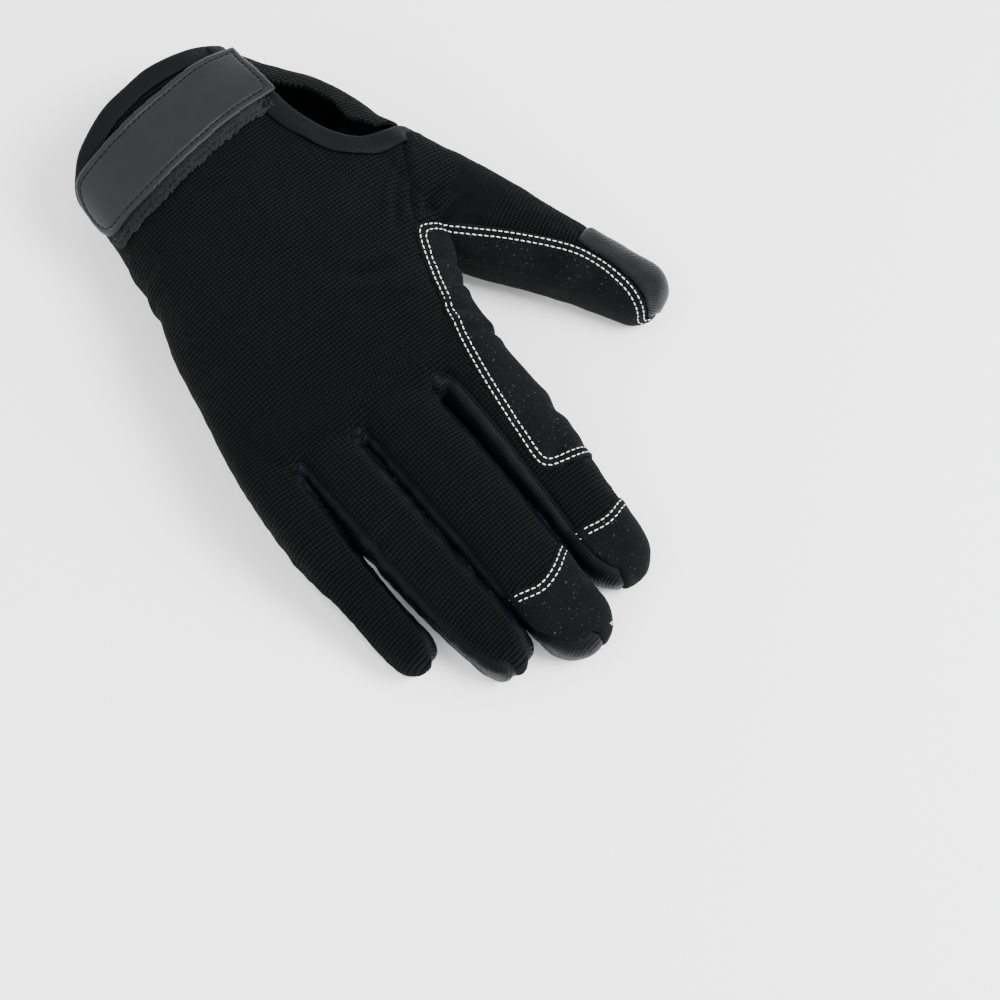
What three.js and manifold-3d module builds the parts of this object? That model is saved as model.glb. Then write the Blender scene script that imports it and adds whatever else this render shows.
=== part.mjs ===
// A right-hand work glove, filled as if worn and resting palm down.
// +Y runs along the fingers, the thumb lies towards -X, the back of the hand faces +Z.
import * as THREE from "three";
import { mergeVertices } from "three/addons/utils/BufferGeometryUtils.js";
import Module from "manifold-3d";

const wasm = await Module();
wasm.setup();

// Driving dimensions, in millimetres.
const handLength = 250; // from the wrist line to just past the longest fingertip
const palmBreadth = 100; // across the knuckles
const handHeight = 46; // floor to the back of the filled hand
const cloth = 1.8; // wall of every sewn panel
const seamGap = 0.3; // clearance between two neighbouring pieces
const bindingWidth = 6; // tape folded over a cut edge
const bindingThickness = 1.2;
const padThickness = 1.5; // reinforcement pads on the palm
const loopThickness = 1.3; // woolly landing patch under the strap
const strapThickness = 2.2;
const strapWidth = 27;
const loopSetBack = 6; // the landing patch starts this far in from the strap's edge at the cuff
const loopShows = 4; // and shows this far beyond its other edge
const loopClearance = 1; // between the landing patch and the bound edges
const floorLevel = 1.5; // height at which the resting cloth is flattened

const FINGER_SIDES = 14; // corners round a finger's section
const HAND_SIDES = 24; // corners round the hand's section
const FAR = 400; // long enough to reach past the glove

// Shape tables.
// Sections of the hand. Columns: along (share of handLength), centre and halfWide
// (shares of palmBreadth), middle and halfHigh (shares of handHeight), power of the rounded box.
const HAND_SECTIONS = [
  { along: -0.16, centre: -0.01, halfWide: 0.36, middle: 0.52, halfHigh: 0.42, power: 2.3 },
  { along: -0.04, centre: -0.012, halfWide: 0.37, middle: 0.522, halfHigh: 0.45, power: 2.4 },
  { along: 0.05, centre: -0.045, halfWide: 0.415, middle: 0.525, halfHigh: 0.455, power: 2.4 },
  { along: 0.14, centre: -0.09, halfWide: 0.5, middle: 0.53, halfHigh: 0.475, power: 2.4 },
  { along: 0.22, centre: -0.115, halfWide: 0.53, middle: 0.55, halfHigh: 0.485, power: 2.5 },
  { along: 0.3, centre: -0.08, halfWide: 0.535, middle: 0.57, halfHigh: 0.48, power: 2.5 },
  { along: 0.38, centre: 0.005, halfWide: 0.505, middle: 0.59, halfHigh: 0.455, power: 2.6 },
  { along: 0.46, centre: 0.055, halfWide: 0.495, middle: 0.61, halfHigh: 0.415, power: 2.7 },
  { along: 0.54, centre: 0.08, halfWide: 0.49, middle: 0.62, halfHigh: 0.34, power: 2.7 },
];
const HAND_END_DEPTH = 0.055; // rounded end of the palm between the fingers, share of handLength

// Sections shared by the four fingers. Columns: along (share of the finger from root to tip),
// middle (share of handHeight), wide and high (shares of the finger's own width and height).
const FINGER_SECTIONS = [
  { along: 0.0, middle: 0.61, wide: 0.88, high: 0.95 },
  { along: 0.26, middle: 0.635, wide: 0.98, high: 1.0 },
  { along: 0.45, middle: 0.58, wide: 1.0, high: 0.98 },
  { along: 0.62, middle: 0.46, wide: 0.98, high: 0.95 },
  { along: 0.78, middle: 0.325, wide: 0.92, high: 0.88 },
  { along: 0.9, middle: 0.25, wide: 0.85, high: 0.8 },
];
const FINGER_POWER = 2.7;
const TIP_DEPTH = 0.46; // rounded tip, share of the finger's width

// The fingers. Columns: root, bend and tip as [across, along] shares of palmBreadth and
// handLength, width and height as shares of palmBreadth.
const FINGERS = {
  index: { root: [-0.235, 0.44], bend: [-0.25, 0.64], tip: [-0.236, 0.945], width: 0.275, height: 0.265 },
  middle: { root: [0.04, 0.44], bend: [0.05, 0.66], tip: [0.012, 0.985], width: 0.288, height: 0.275 },
  ring: { root: [0.29, 0.44], bend: [0.315, 0.65], tip: [0.252, 0.945], width: 0.218, height: 0.245 },
  little: { root: [0.46, 0.42], bend: [0.53, 0.62], tip: [0.488, 0.862], width: 0.184, height: 0.205 },
};

// Sections of the thumb. Columns as for the hand, with halfHigh as a share of handHeight.
const THUMB_SECTIONS = [
  { across: -0.45, along: 0.22, middle: 0.55, halfWide: 0.19, halfHigh: 0.4 },
  { across: -0.55, along: 0.32, middle: 0.52, halfWide: 0.195, halfHigh: 0.39 },
  { across: -0.67, along: 0.412, middle: 0.46, halfWide: 0.176, halfHigh: 0.35 },
  { across: -0.785, along: 0.502, middle: 0.4, halfWide: 0.14, halfHigh: 0.31 },
  { across: -0.888, along: 0.58, middle: 0.32, halfWide: 0.113, halfHigh: 0.275 },
  { across: -0.94, along: 0.625, middle: 0.28, halfWide: 0.102, halfHigh: 0.25 },
];
const THUMB_POWER = 2.4;
const THUMB_TIP_DEPTH = 0.1; // share of palmBreadth

// Height of the seam between the back and the palm side, [share of handLength, of handHeight].
const HAND_WAIST = [
  [-0.3, 0.33], [0.2, 0.33], [0.4, 0.37], [0.52, 0.45], [0.72, 0.43], [0.86, 0.27], [1.2, 0.18],
];
const THUMB_WAIST = [[-0.3, 0.33], [0.4, 0.33], [0.58, 0.3], [0.7, 0.27], [1.2, 0.2]];
const THUMB_WAIST_LIMIT = -0.47; // the thumb's own seam height holds beyond this share of palmBreadth

// Outlines seen from above, as [across, along] shares of palmBreadth and handLength.
// "Top" cuts the back of the glove, "Palm" cuts its underside.
const CUFF_TOP = [
  [-0.6, -0.008], [-0.37, -0.012], [-0.25, -0.024], [-0.07, -0.03], [0.13, -0.017],
  [0.28, 0.004], [0.37, 0.032], [0.6, 0.09],
];
const CUFF_PALM = [[0.6, 0.09], [0.37, 0.032], [0.22, 0.004], [0.0, -0.008], [-0.17, -0.008]];
const PALM_DIAGONAL = [
  [-0.17, -0.008], [-0.22, 0.022], [-0.29, 0.07], [-0.38, 0.115], [-0.47, 0.145], [-0.8, 0.17],
];
const NOTCH = [
  [-0.36, -0.1], [-0.36, 0.1], [-0.365, 0.155], [-0.4, 0.21], [-0.46, 0.243], [-0.54, 0.256],
  [-0.9, 0.256],
];
const TAB_TOP = [
  [-0.375, -0.1], [-0.375, 0.055], [-0.4, 0.088], [-0.485, 0.122], [-0.525, 0.16], [-0.52, 0.2],
  [-0.57, 0.234], [-0.9, 0.234], [-0.9, -0.1],
];
const TAB_CUFF = [[-0.15, -0.012], [-0.28, -0.008], [-0.38, 0.0], [-0.5, 0.022], [-0.8, 0.06]];
const TAB_INSIDE = [
  [-0.175, -0.02], [-0.215, 0.012], [-0.28, 0.054], [-0.37, 0.098], [-0.46, 0.128], [-0.9, 0.15],
];

const THUMB_LINE = [
  [-0.42, 0.392], [-0.52, 0.402], [-0.6, 0.434], [-0.68, 0.466], [-0.765, 0.504], [-0.85, 0.545],
  [-0.895, 0.588], [-0.915, 0.63], [-0.905, 0.665], [-0.86, 0.72],
];
const THUMB_ROOT = [[-0.9, 0.24], [-0.64, 0.258], [-0.58, 0.29], [-0.51, 0.34], [-0.42, 0.392]];
const PATCH_TOP = [
  [-0.84, 0.53], [-1.2, 0.5], [-1.2, 0.75], [-0.86, 0.72], [-0.905, 0.665], [-0.915, 0.63],
  [-0.895, 0.588], [-0.862, 0.555],
];
const PATCH_PALM = [
  [-0.88, 0.525], [-1.2, 0.5], [-1.2, 0.75], [-0.92, 0.7], [-0.965, 0.65], [-0.955, 0.6],
];
const THENAR = [
  [-0.52, 0.17], [-0.56, 0.23], [-0.62, 0.285], [-0.68, 0.335], [-0.74, 0.375], [-0.8, 0.4],
  [-1.2, 0.42], [-1.2, 0.16],
];
const WINDOW_PALM = [
  [-0.87, 0.515], [-0.83, 0.486], [-0.76, 0.482], [-0.72, 0.51], [-0.735, 0.545], [-0.79, 0.56],
  [-0.85, 0.552],
];
const WEB_TOP = [
  [-0.42, 0.392], [-0.375, 0.425], [-0.33, 0.472], [-0.29, 0.52], [-0.25, 0.572], [-0.22, 0.628],
  [-0.2, 0.69], [-0.185, 0.762], [-0.22, 0.777], [-0.36, 0.788], [-0.6, 0.79], [-1.2, 0.75],
  [-1.2, 0.3], [-0.7, 0.3],
];
const WEB_PALM = [
  [-0.78, 0.402], [-0.69, 0.402], [-0.62, 0.416], [-0.55, 0.42], [-0.47, 0.426], [-0.44, 0.45],
  [-0.42, 0.5], [-0.41, 0.545], [-0.375, 0.605], [-0.3, 0.624], [-0.21, 0.63], [-0.175, 0.655],
  [-0.17, 0.7], [-0.18, 0.744], [-0.25, 0.766], [-0.42, 0.772], [-0.6, 0.79], [-1.2, 0.75],
  [-1.2, 0.41],
];
// Side strips between the fingers. Columns: the finger on each side, the crotch point, and for
// the back and the palm side the seam's place beside each finger as a share of its half width.
// Last: how far round each tip the strip runs, or the share of the length where it stops short.
const FOURCHETTES = {
  fourchette_index_middle: {
    left: "index", right: "middle", crotch: [-0.115, 0.58],
    top: [0.62, -0.88], palm: [0.86, -0.86], leftRound: 0.3, rightStop: 0.74,
  },
  fourchette_middle_ring: {
    left: "middle", right: "ring", crotch: [0.203, 0.575],
    top: [0.88, -0.74], palm: [0.86, -0.84], leftRound: -0.2, rightRound: -0.35,
  },
  fourchette_ring_little: {
    left: "ring", right: "little", crotch: [0.43, 0.562],
    top: [0.86, -0.8], palm: [0.82, -0.8], leftRound: 0.3, rightRound: -0.3,
  },
};
const CROTCH_HALF = 0.025; // half width of a strip where it turns round the crotch
const VALLEY = 0.97; // middle of the valley beside a finger, share of its half width
const SEAM_START = 0.33; // where the side strips leave the crotch, share of the finger
// The seam's way round a fingertip: [share of the length, share left of the side distance].
const TIP_WAY = [[0.86, 1.0], [0.91, 0.86], [0.945, 0.66], [0.965, 0.4]];

const INDEX_CAP_TOP = [
  [0.0, 0.848], [-0.16, 0.85], [-0.27, 0.862], [-0.38, 0.845], [-0.5, 0.84], [-0.5, 1.1],
  [-0.1, 1.1], [-0.1, 0.9],
];
const INDEX_CAP_PALM = [
  [-0.1, 0.82], [-0.16, 0.836], [-0.32, 0.845], [-0.5, 0.848], [-0.5, 1.1], [-0.1, 1.1],
];
const MIDDLE_CAP_TOP = [
  [0.22, 0.852], [0.14, 0.866], [0.06, 0.88], [-0.01, 0.872], [-0.1, 0.852], [-0.1, 1.1],
  [0.22, 1.1],
];
const MIDDLE_CAP_PALM = [
  [0.22, 0.838], [0.12, 0.85], [-0.02, 0.852], [-0.1, 0.85], [-0.1, 1.1], [0.22, 1.1],
];

const HEEL_PAD = [
  [0.41, 0.235], [0.33, 0.2], [0.24, 0.156], [0.17, 0.136], [0.08, 0.14], [0.01, 0.152],
  [-0.12, 0.156], [-0.2, 0.168], [-0.24, 0.192], [-0.26, 0.24], [-0.265, 0.37], [-0.25, 0.41],
  [-0.21, 0.432], [-0.15, 0.444], [-0.07, 0.44], [0.04, 0.424], [0.16, 0.398], [0.27, 0.37],
  [0.36, 0.325],
];
const HEEL_WINDOW = [
  [0.19, 0.256], [0.12, 0.234], [0.06, 0.226], [0.0, 0.232], [-0.03, 0.262], [-0.03, 0.292],
  [0.0, 0.31], [0.06, 0.316], [0.13, 0.306],
];
const KNUCKLE_PAD = [
  [-0.01, 0.452], [-0.1, 0.456], [-0.165, 0.468], [-0.195, 0.49], [-0.185, 0.525], [-0.12, 0.55],
  [-0.06, 0.566], [-0.03, 0.596], [0.02, 0.61], [0.08, 0.606], [0.12, 0.58], [0.16, 0.56],
  [0.26, 0.552], [0.31, 0.528], [0.3, 0.49], [0.24, 0.466], [0.12, 0.452],
];
// Middle line of the strap, from its sewn end to where it turns down the side.
const STRAP_LINE = [
  [-0.375, 0.057], [-0.2, 0.06], [-0.03, 0.066], [0.18, 0.077], [0.34, 0.078], [0.6, 0.072],
];
const STRAP_DROP = 0.62; // lowest point of the rounded end, share of handHeight
const STRAP_ROUND = 0.6; // height of the rounded end, share of half the strap's width

// Helpers that build and cut solids.
const across = (share) => share * palmBreadth;
const along = (share) => share * handLength;
const height = (share) => share * handHeight;
const flatPoints = (outline) => outline.map(([x, y]) => new THREE.Vector2(across(x), along(y)));

// A closed three.js geometry as a solid that can be joined and cut.
function solidOf(geometry) {
  const bare = new THREE.BufferGeometry();
  const source = geometry.index ? geometry.toNonIndexed() : geometry;
  bare.setAttribute("position", source.getAttribute("position"));
  const merged = mergeVertices(bare, 1e-4);
  return new wasm.Manifold(
    new wasm.Mesh({
      numProp: 3,
      vertProperties: merged.attributes.position.array,
      triVerts: new Uint32Array(merged.index.array),
    }),
  );
}

// A solid as a three.js geometry with flat facets.
function geometryOf(solid) {
  const mesh = solid.getMesh();
  const geometry = new THREE.BufferGeometry();
  const positions = new Float32Array(mesh.numVert * 3);
  for (let i = 0; i < mesh.numVert; i++)
    for (let k = 0; k < 3; k++) positions[3 * i + k] = mesh.vertProperties[i * mesh.numProp + k];
  geometry.setAttribute("position", new THREE.BufferAttribute(positions, 3));
  geometry.setIndex(new THREE.BufferAttribute(new Uint32Array(mesh.triVerts), 1));
  geometry.computeVertexNormals();
  return geometry;
}

// The closed skin through a row of rings that all have the same number of points.
function loftOf(rings) {
  const sides = rings[0].length;
  const points = rings.flat();
  const faces = [];
  for (let r = 0; r + 1 < rings.length; r++)
    for (let s = 0; s < sides; s++) {
      const a = r * sides + s;
      const b = r * sides + ((s + 1) % sides);
      faces.push(a, b + sides, b, a, a + sides, b + sides);
    }
  const middleOf = (ring) =>
    ring.reduce((sum, p) => sum.add(p), new THREE.Vector3()).divideScalar(sides);
  const first = points.push(middleOf(rings[0])) - 1;
  const last = points.push(middleOf(rings[rings.length - 1])) - 1;
  const end = (rings.length - 1) * sides;
  for (let s = 0; s < sides; s++) {
    const next = (s + 1) % sides;
    faces.push(first, s, next, last, end + next, end + s);
  }
  const geometry = new THREE.BufferGeometry().setFromPoints(points);
  geometry.setIndex(faces);
  return solidOf(geometry);
}

// A rounded-box ring round a point, square to a direction and level across it.
function ringAt(place, direction, halfWide, halfHigh, power, sides) {
  const side = new THREE.Vector3(direction.y, -direction.x, 0).normalize();
  const up = new THREE.Vector3().crossVectors(side, direction).normalize();
  const ring = [];
  for (let s = 0; s < sides; s++) {
    const angle = (2 * Math.PI * s) / sides;
    const c = Math.cos(angle);
    const n = Math.sin(angle);
    const u = halfWide * Math.sign(c) * Math.abs(c) ** (2 / power);
    const v = halfHigh * Math.sign(n) * Math.abs(n) ** (2 / power);
    ring.push(place.clone().addScaledVector(side, u).addScaledVector(up, v));
  }
  return ring;
}

// A limb through sections {place, halfWide, halfHigh, power}, ended by a rounded tip.
// Grow is added to every half size, so a negative one gives the space inside.
function limb(sections, tipDepth, sides, grow) {
  const spine = new THREE.CatmullRomCurve3(sections.map((s) => s.place));
  const last = sections[sections.length - 1];
  const rings = sections.map((s, i) =>
    ringAt(
      s.place,
      spine.getTangent(i / (sections.length - 1)),
      s.halfWide + grow,
      s.halfHigh + grow,
      s.power,
      sides,
    ),
  );
  const direction = spine.getTangent(1);
  const steps = [0.5, 0.82, 0.97]; // how far out along the rounded tip each ring stands
  for (const step of steps) {
    const share = Math.sqrt(1 - step * step);
    const place = last.place.clone().addScaledVector(direction, step * (tipDepth + grow));
    const wide = (last.halfWide + grow) * share;
    const high = (last.halfHigh + grow) * share;
    rings.push(ringAt(place, direction, wide, high, last.power, sides));
  }
  return loftOf(rings);
}

function handSolid(grow) {
  const sections = HAND_SECTIONS.map((s) => ({
    place: new THREE.Vector3(across(s.centre), along(s.along), height(s.middle)),
    halfWide: across(s.halfWide),
    halfHigh: height(s.halfHigh),
    power: s.power,
  }));
  const forward = new THREE.Vector3(0, 1, 0);
  const rings = sections.map((s) =>
    ringAt(s.place, forward, s.halfWide + grow, s.halfHigh + grow, s.power, HAND_SIDES),
  );
  const last = sections[sections.length - 1];
  for (const step of [0.5, 0.8, 0.96]) {
    const share = Math.sqrt(1 - step * step);
    const place = last.place.clone().addScaledVector(forward, step * (along(HAND_END_DEPTH) + grow));
    const wide = last.halfWide + grow - (1 - share) * height(0.2);
    const high = (last.halfHigh + grow) * (0.3 + 0.7 * share);
    rings.push(ringAt(place, forward, wide, high, last.power, HAND_SIDES));
  }
  return loftOf(rings);
}

// The middle line of a finger, seen from above.
function fingerPlan({ root, bend, tip }) {
  return new THREE.QuadraticBezierCurve(
    new THREE.Vector2(across(root[0]), along(root[1])),
    new THREE.Vector2(
      across(2 * bend[0] - 0.5 * (root[0] + tip[0])),
      along(2 * bend[1] - 0.5 * (root[1] + tip[1])),
    ),
    new THREE.Vector2(across(tip[0]), along(tip[1])),
  );
}

function fingerSolid(finger, grow) {
  const plan = fingerPlan(finger);
  const wide = across(finger.width);
  const high = across(finger.height);
  const tipDepth = TIP_DEPTH * wide;
  const reach = 1 - tipDepth / plan.getLength();
  const lower = 0.5 * (1 + finger.height / FINGERS.middle.height); // thinner fingers lie lower
  const sections = FINGER_SECTIONS.map((s) => {
    const flat = plan.getPointAt((s.along / FINGER_SECTIONS.at(-1).along) * reach);
    return {
      place: new THREE.Vector3(flat.x, flat.y, height(s.middle) * (s.along > 0.5 ? lower : 1)),
      halfWide: 0.5 * s.wide * wide,
      halfHigh: 0.5 * s.high * high,
      power: FINGER_POWER,
    };
  });
  return limb(sections, tipDepth, FINGER_SIDES, grow);
}

// A point beside a finger: reach is a share of its length and aside of its half width.
function besideFinger(name, reach, aside) {
  const finger = FINGERS[name];
  const plan = fingerPlan(finger);
  const at = Math.min(reach, 1);
  const direction = plan.getTangentAt(at);
  const point = plan.getPointAt(at).addScaledVector(direction, (reach - at) * plan.getLength());
  const distance = 0.5 * aside * across(finger.width);
  return point.add(new THREE.Vector2(direction.y, -direction.x).multiplyScalar(distance));
}

// One seam of a side strip, from the crotch to the fingertip and out beyond it.
function seamBeside(name, aside, round) {
  return [
    besideFinger(name, SEAM_START, aside),
    besideFinger(name, 0.6, aside),
    ...TIP_WAY.map(([reach, share]) => besideFinger(name, reach, aside * share)),
    besideFinger(name, 0.972, round),
    besideFinger(name, 1.2, round),
  ];
}
function fourchetteOutline({ left, right, crotch, leftRound, rightRound, rightStop }, seams) {
  const corner = (side) =>
    new THREE.Vector2(across(crotch[0] + side * CROTCH_HALF), along(crotch[1]));
  const start = [corner(1), corner(-1)];
  const leftSeam = seamBeside(left, seams[0], leftRound);
  if (rightStop)
    return [
      ...start,
      ...leftSeam,
      besideFinger(left, 1.2, VALLEY),
      besideFinger(left, 0.88, VALLEY),
      besideFinger(right, rightStop, seams[1]),
      besideFinger(right, 0.6, seams[1]),
      besideFinger(right, SEAM_START, seams[1]),
    ];
  return [...start, ...leftSeam, ...seamBeside(right, seams[1], rightRound).reverse()];
}

function thumbSolid(grow) {
  const sections = THUMB_SECTIONS.map((s) => ({
    place: new THREE.Vector3(across(s.across), along(s.along), height(s.middle)),
    halfWide: across(s.halfWide),
    halfHigh: height(s.halfHigh),
    power: THUMB_POWER,
  }));
  return limb(sections, across(THUMB_TIP_DEPTH), FINGER_SIDES, grow);
}

// A box between two heights, over the whole glove.
function slab(from, to) {
  const box = new THREE.BoxGeometry(2 * FAR, 2 * FAR, to - from);
  box.translate(0, 0, (from + to) / 2);
  return solidOf(box);
}

// The whole filled glove, flattened where it rests on the floor.
const bodies = new Map();
function body(grow) {
  if (!bodies.has(grow)) {
    let solid = handSolid(grow).add(thumbSolid(grow));
    for (const finger of Object.values(FINGERS)) solid = solid.add(fingerSolid(finger, grow));
    const bottom = grow < 0 ? floorLevel - grow : floorLevel;
    bodies.set(grow, solid.subtract(slab(-FAR, bottom)));
  }
  return bodies.get(grow);
}

// A flat outline in millimetres moved outwards by a distance.
function grownOutline(points, distance) {
  if (distance === 0) return points;
  const turn = THREE.ShapeUtils.area(points) > 0 ? 1 : -1;
  return points.map((point, i) => {
    const before = points[(i + points.length - 1) % points.length];
    const after = points[(i + 1) % points.length];
    const a = point.clone().sub(before).normalize();
    const b = after.clone().sub(point).normalize();
    const outward = new THREE.Vector2(a.y + b.y, -a.x - b.x).multiplyScalar(turn).normalize();
    const lean = Math.max(0.5, Math.abs(outward.dot(new THREE.Vector2(a.y, -a.x))));
    return point.clone().addScaledVector(outward, distance / lean);
  });
}

// An upright block over a flat outline.
function prism(points) {
  const shape = new THREE.Shape(points);
  const geometry = new THREE.ExtrudeGeometry(shape, { depth: 2 * FAR, bevelEnabled: false });
  geometry.translate(0, 0, -FAR);
  return solidOf(geometry);
}

// A block whose outline lies in the Y-Z plane, reaching from one X to another.
function sideBlock(points, from, to) {
  const geometry = new THREE.ExtrudeGeometry(new THREE.Shape(points), {
    depth: to - from,
    bevelEnabled: false,
  });
  const axes = [new THREE.Vector3(0, 1, 0), new THREE.Vector3(0, 0, 1), new THREE.Vector3(1, 0, 0)];
  geometry.applyMatrix4(new THREE.Matrix4().makeBasis(...axes));
  geometry.translate(from, 0, 0);
  return solidOf(geometry);
}

// Everything on one side of the waist seam, which is moved up by a distance.
function waistBlock(lift, farHeight) {
  const limit = across(THUMB_WAIST_LIMIT);
  const blockOf = (waist, from, to) => {
    const line = waist.map(([y, z]) => new THREE.Vector2(along(y), height(z) + lift));
    const first = new THREE.Vector2(line[0].x, farHeight);
    const last = new THREE.Vector2(line[line.length - 1].x, farHeight);
    return sideBlock([...line, last, first], from, to);
  };
  return blockOf(THUMB_WAIST, -FAR, limit).add(blockOf(HAND_WAIST, limit, FAR));
}
const aboveWaist = (lift) => waistBlock(lift, FAR);
const belowWaist = (lift) => waistBlock(lift, -FAR);

// A closed outline from an edge line and the far corners that lie beyond it.
const closed = (edge, ...corners) => [...edge, ...corners];

// An outline given as shares or already as points in millimetres.
const asPoints = (outline) => (outline[0].isVector2 ? outline : flatPoints(outline));

// The space that one panel takes: its outline on the back, on the palm side, or on both.
function region({ top, palm }) {
  return (grow) => {
    const parts = [];
    if (top) {
      parts.push(prism(grownOutline(asPoints(top), grow)).intersect(aboveWaist(-grow)));
    }
    if (palm) {
      const level = (top ? seamGap / 2 : -seamGap) + grow;
      parts.push(prism(grownOutline(asPoints(palm), grow)).intersect(belowWaist(level)));
    }
    return parts.reduce((joined, part) => joined.add(part));
  };
}

// The largest body of a cut, without the crumbs that a seam can leave.
function largest(solid) {
  const pieces = solid.decompose();
  return pieces.reduce((best, piece) => (piece.volume() > best.volume() ? piece : best));
}

// The sewn shell, cut into its panels.
const shell = body(0).subtract(body(-cloth));
let rest = shell;
const pieces = {};

function cutPiece(name, place) {
  const space = region(place);
  pieces[name] = largest(rest.intersect(space(0)));
  rest = rest.subtract(space(seamGap));
}
function cutAway(place) {
  rest = rest.subtract(region(place)(0));
}

// The open end of the glove, then the gusset that bridges it on the thumb side.
cutAway({ top: closed(CUFF_TOP, [0.6, -0.4], [-0.9, -0.4], [-0.9, -0.02]) });
const tabPalm = closed([...TAB_INSIDE].reverse(), [-0.15, -0.012], [-0.15, -0.3], [-0.9, -0.3]);
const beyondTab = closed(TAB_CUFF, [-0.8, -0.5], [0.2, -0.5]);
const tabSpace = region({ top: TAB_TOP, palm: tabPalm })(0);
const tabTrim = region({ top: beyondTab, palm: beyondTab })(0);
pieces.wrist_tab = largest(rest.intersect(tabSpace).subtract(tabTrim));
cutAway({ top: closed(NOTCH, [-0.9, -0.1]) });
cutAway({ palm: closed(CUFF_PALM, ...PALM_DIAGONAL.slice(1), [-0.9, 0.17], [-0.9, -0.5], [0.6, -0.5]) });

cutPiece("thumb_tip_patch", { top: PATCH_TOP, palm: PATCH_PALM });
const thumbEdge = closed([...THUMB_LINE].reverse(), ...[...THUMB_ROOT].reverse().slice(1));
cutPiece("thumb_back", { top: closed(thumbEdge, [-1.2, 0.24], [-1.2, 0.72]) });
cutPiece("thenar_strip", { palm: THENAR });
cutPiece("thumb_window", { palm: WINDOW_PALM });
cutPiece("web_panel", { top: WEB_TOP, palm: WEB_PALM });
for (const [name, strip] of Object.entries(FOURCHETTES)) {
  const top = fourchetteOutline(strip, strip.top);
  const palm = fourchetteOutline(strip, strip.palm);
  cutPiece(name, { top, palm });
}
cutPiece("index_cap", { top: INDEX_CAP_TOP, palm: INDEX_CAP_PALM });
cutPiece("middle_cap", { top: MIDDLE_CAP_TOP, palm: MIDDLE_CAP_PALM });
pieces.back_panel = largest(rest.intersect(aboveWaist(0)));
pieces.palm_panel = largest(rest.intersect(belowWaist(-seamGap)));

// Tape bound round the open edges.
// The flat strip along an edge line, from a distance outside it to a distance inside it.
function strip(edge, outside, inside) {
  const line = flatPoints(edge);
  const shifted = (distance) =>
    line.map((point, i) => {
      const a = line[Math.max(0, i - 1)];
      const b = line[Math.min(line.length - 1, i + 1)];
      const normal = new THREE.Vector2(b.y - a.y, a.x - b.x).normalize();
      return point.clone().addScaledVector(normal, distance);
    });
  return [...shifted(outside), ...shifted(-inside).reverse()];
}

// Tape folded over an edge of the shell: it covers the edge's outside, end and inside.
function binding(edge, half) {
  const tape = body(bindingThickness).subtract(body(-cloth - bindingThickness));
  const groove = body(seamGap).subtract(body(-cloth - seamGap));
  const band = prism(strip(edge, bindingThickness, bindingWidth));
  const slot = prism(strip(edge, seamGap, bindingWidth + cloth));
  return largest(tape.intersect(band).intersect(half).subtract(groove.intersect(slot)));
}
const palmEdge = [...CUFF_PALM, ...PALM_DIAGONAL.slice(1)].reverse();
const notchEdge = NOTCH.slice(1).reverse();
const above = aboveWaist(0);
const below = belowWaist(-seamGap);
pieces.cuff_binding = binding(CUFF_TOP.slice(1), above);
pieces.palm_binding = binding(palmEdge, below);
pieces.notch_binding = binding(notchEdge, above);
// The gusset stops just short of the taped edges that it bridges.
for (const edge of [palmEdge, notchEdge, CUFF_TOP]) {
  const reach = bindingThickness + seamGap;
  pieces.wrist_tab = pieces.wrist_tab.subtract(prism(strip(edge, reach, bindingWidth + seamGap)));
}
pieces.wrist_tab = largest(pieces.wrist_tab);

// Layers laid on the shell.
// A sheet that follows the shell between two distances from it.
const layer = (from, thickness) => body(from + thickness).subtract(body(from));

const padSheet = layer(seamGap, padThickness).intersect(belowWaist(-1));
const heelWindow = prism(flatPoints(HEEL_WINDOW));
pieces.heel_pad = largest(padSheet.intersect(prism(flatPoints(HEEL_PAD))).subtract(heelWindow));
pieces.knuckle_pad = largest(padSheet.intersect(prism(flatPoints(KNUCKLE_PAD))));

// The strap crosses the wrist, and its rounded free end turns down the little-finger side.
function strapSheet(from, thickness, low, high, bottom) {
  const line = flatPoints(STRAP_LINE);
  const moved = (offset) => line.map((p) => new THREE.Vector2(p.x, p.y + offset));
  const flat = layer(from, thickness).intersect(prism([...moved(low), ...moved(high).reverse()]));
  const radius = (high - low) / 2;
  const middle = line.at(-1).y + (low + high) / 2;
  const drop = [];
  for (let i = 0; i <= 12; i++) {
    const angle = Math.PI + (Math.PI * i) / 12;
    const level = bottom + radius * STRAP_ROUND * (1 + Math.sin(angle));
    drop.push(new THREE.Vector2(middle + radius * Math.cos(angle), level));
  }
  drop.push(new THREE.Vector2(middle + radius, FAR), new THREE.Vector2(middle - radius, FAR));
  const side = sideBlock(drop, 0, FAR);
  return largest(flat.intersect(slab(height(0.9), FAR).add(side)));
}
const half = strapWidth / 2;
const loopBottom = height(STRAP_DROP - 0.02);
let loopPatch = strapSheet(seamGap, loopThickness, loopSetBack - half, half + loopShows, loopBottom);
for (const edge of [CUFF_TOP.slice(1), notchEdge])
  loopPatch = loopPatch.subtract(prism(strip(edge, strapWidth, bindingWidth + loopClearance)));
pieces.loop_patch = largest(loopPatch);
const strapLift = 2 * seamGap + loopThickness;
pieces.strap = strapSheet(strapLift, strapThickness, -half, half, height(STRAP_DROP));

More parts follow.
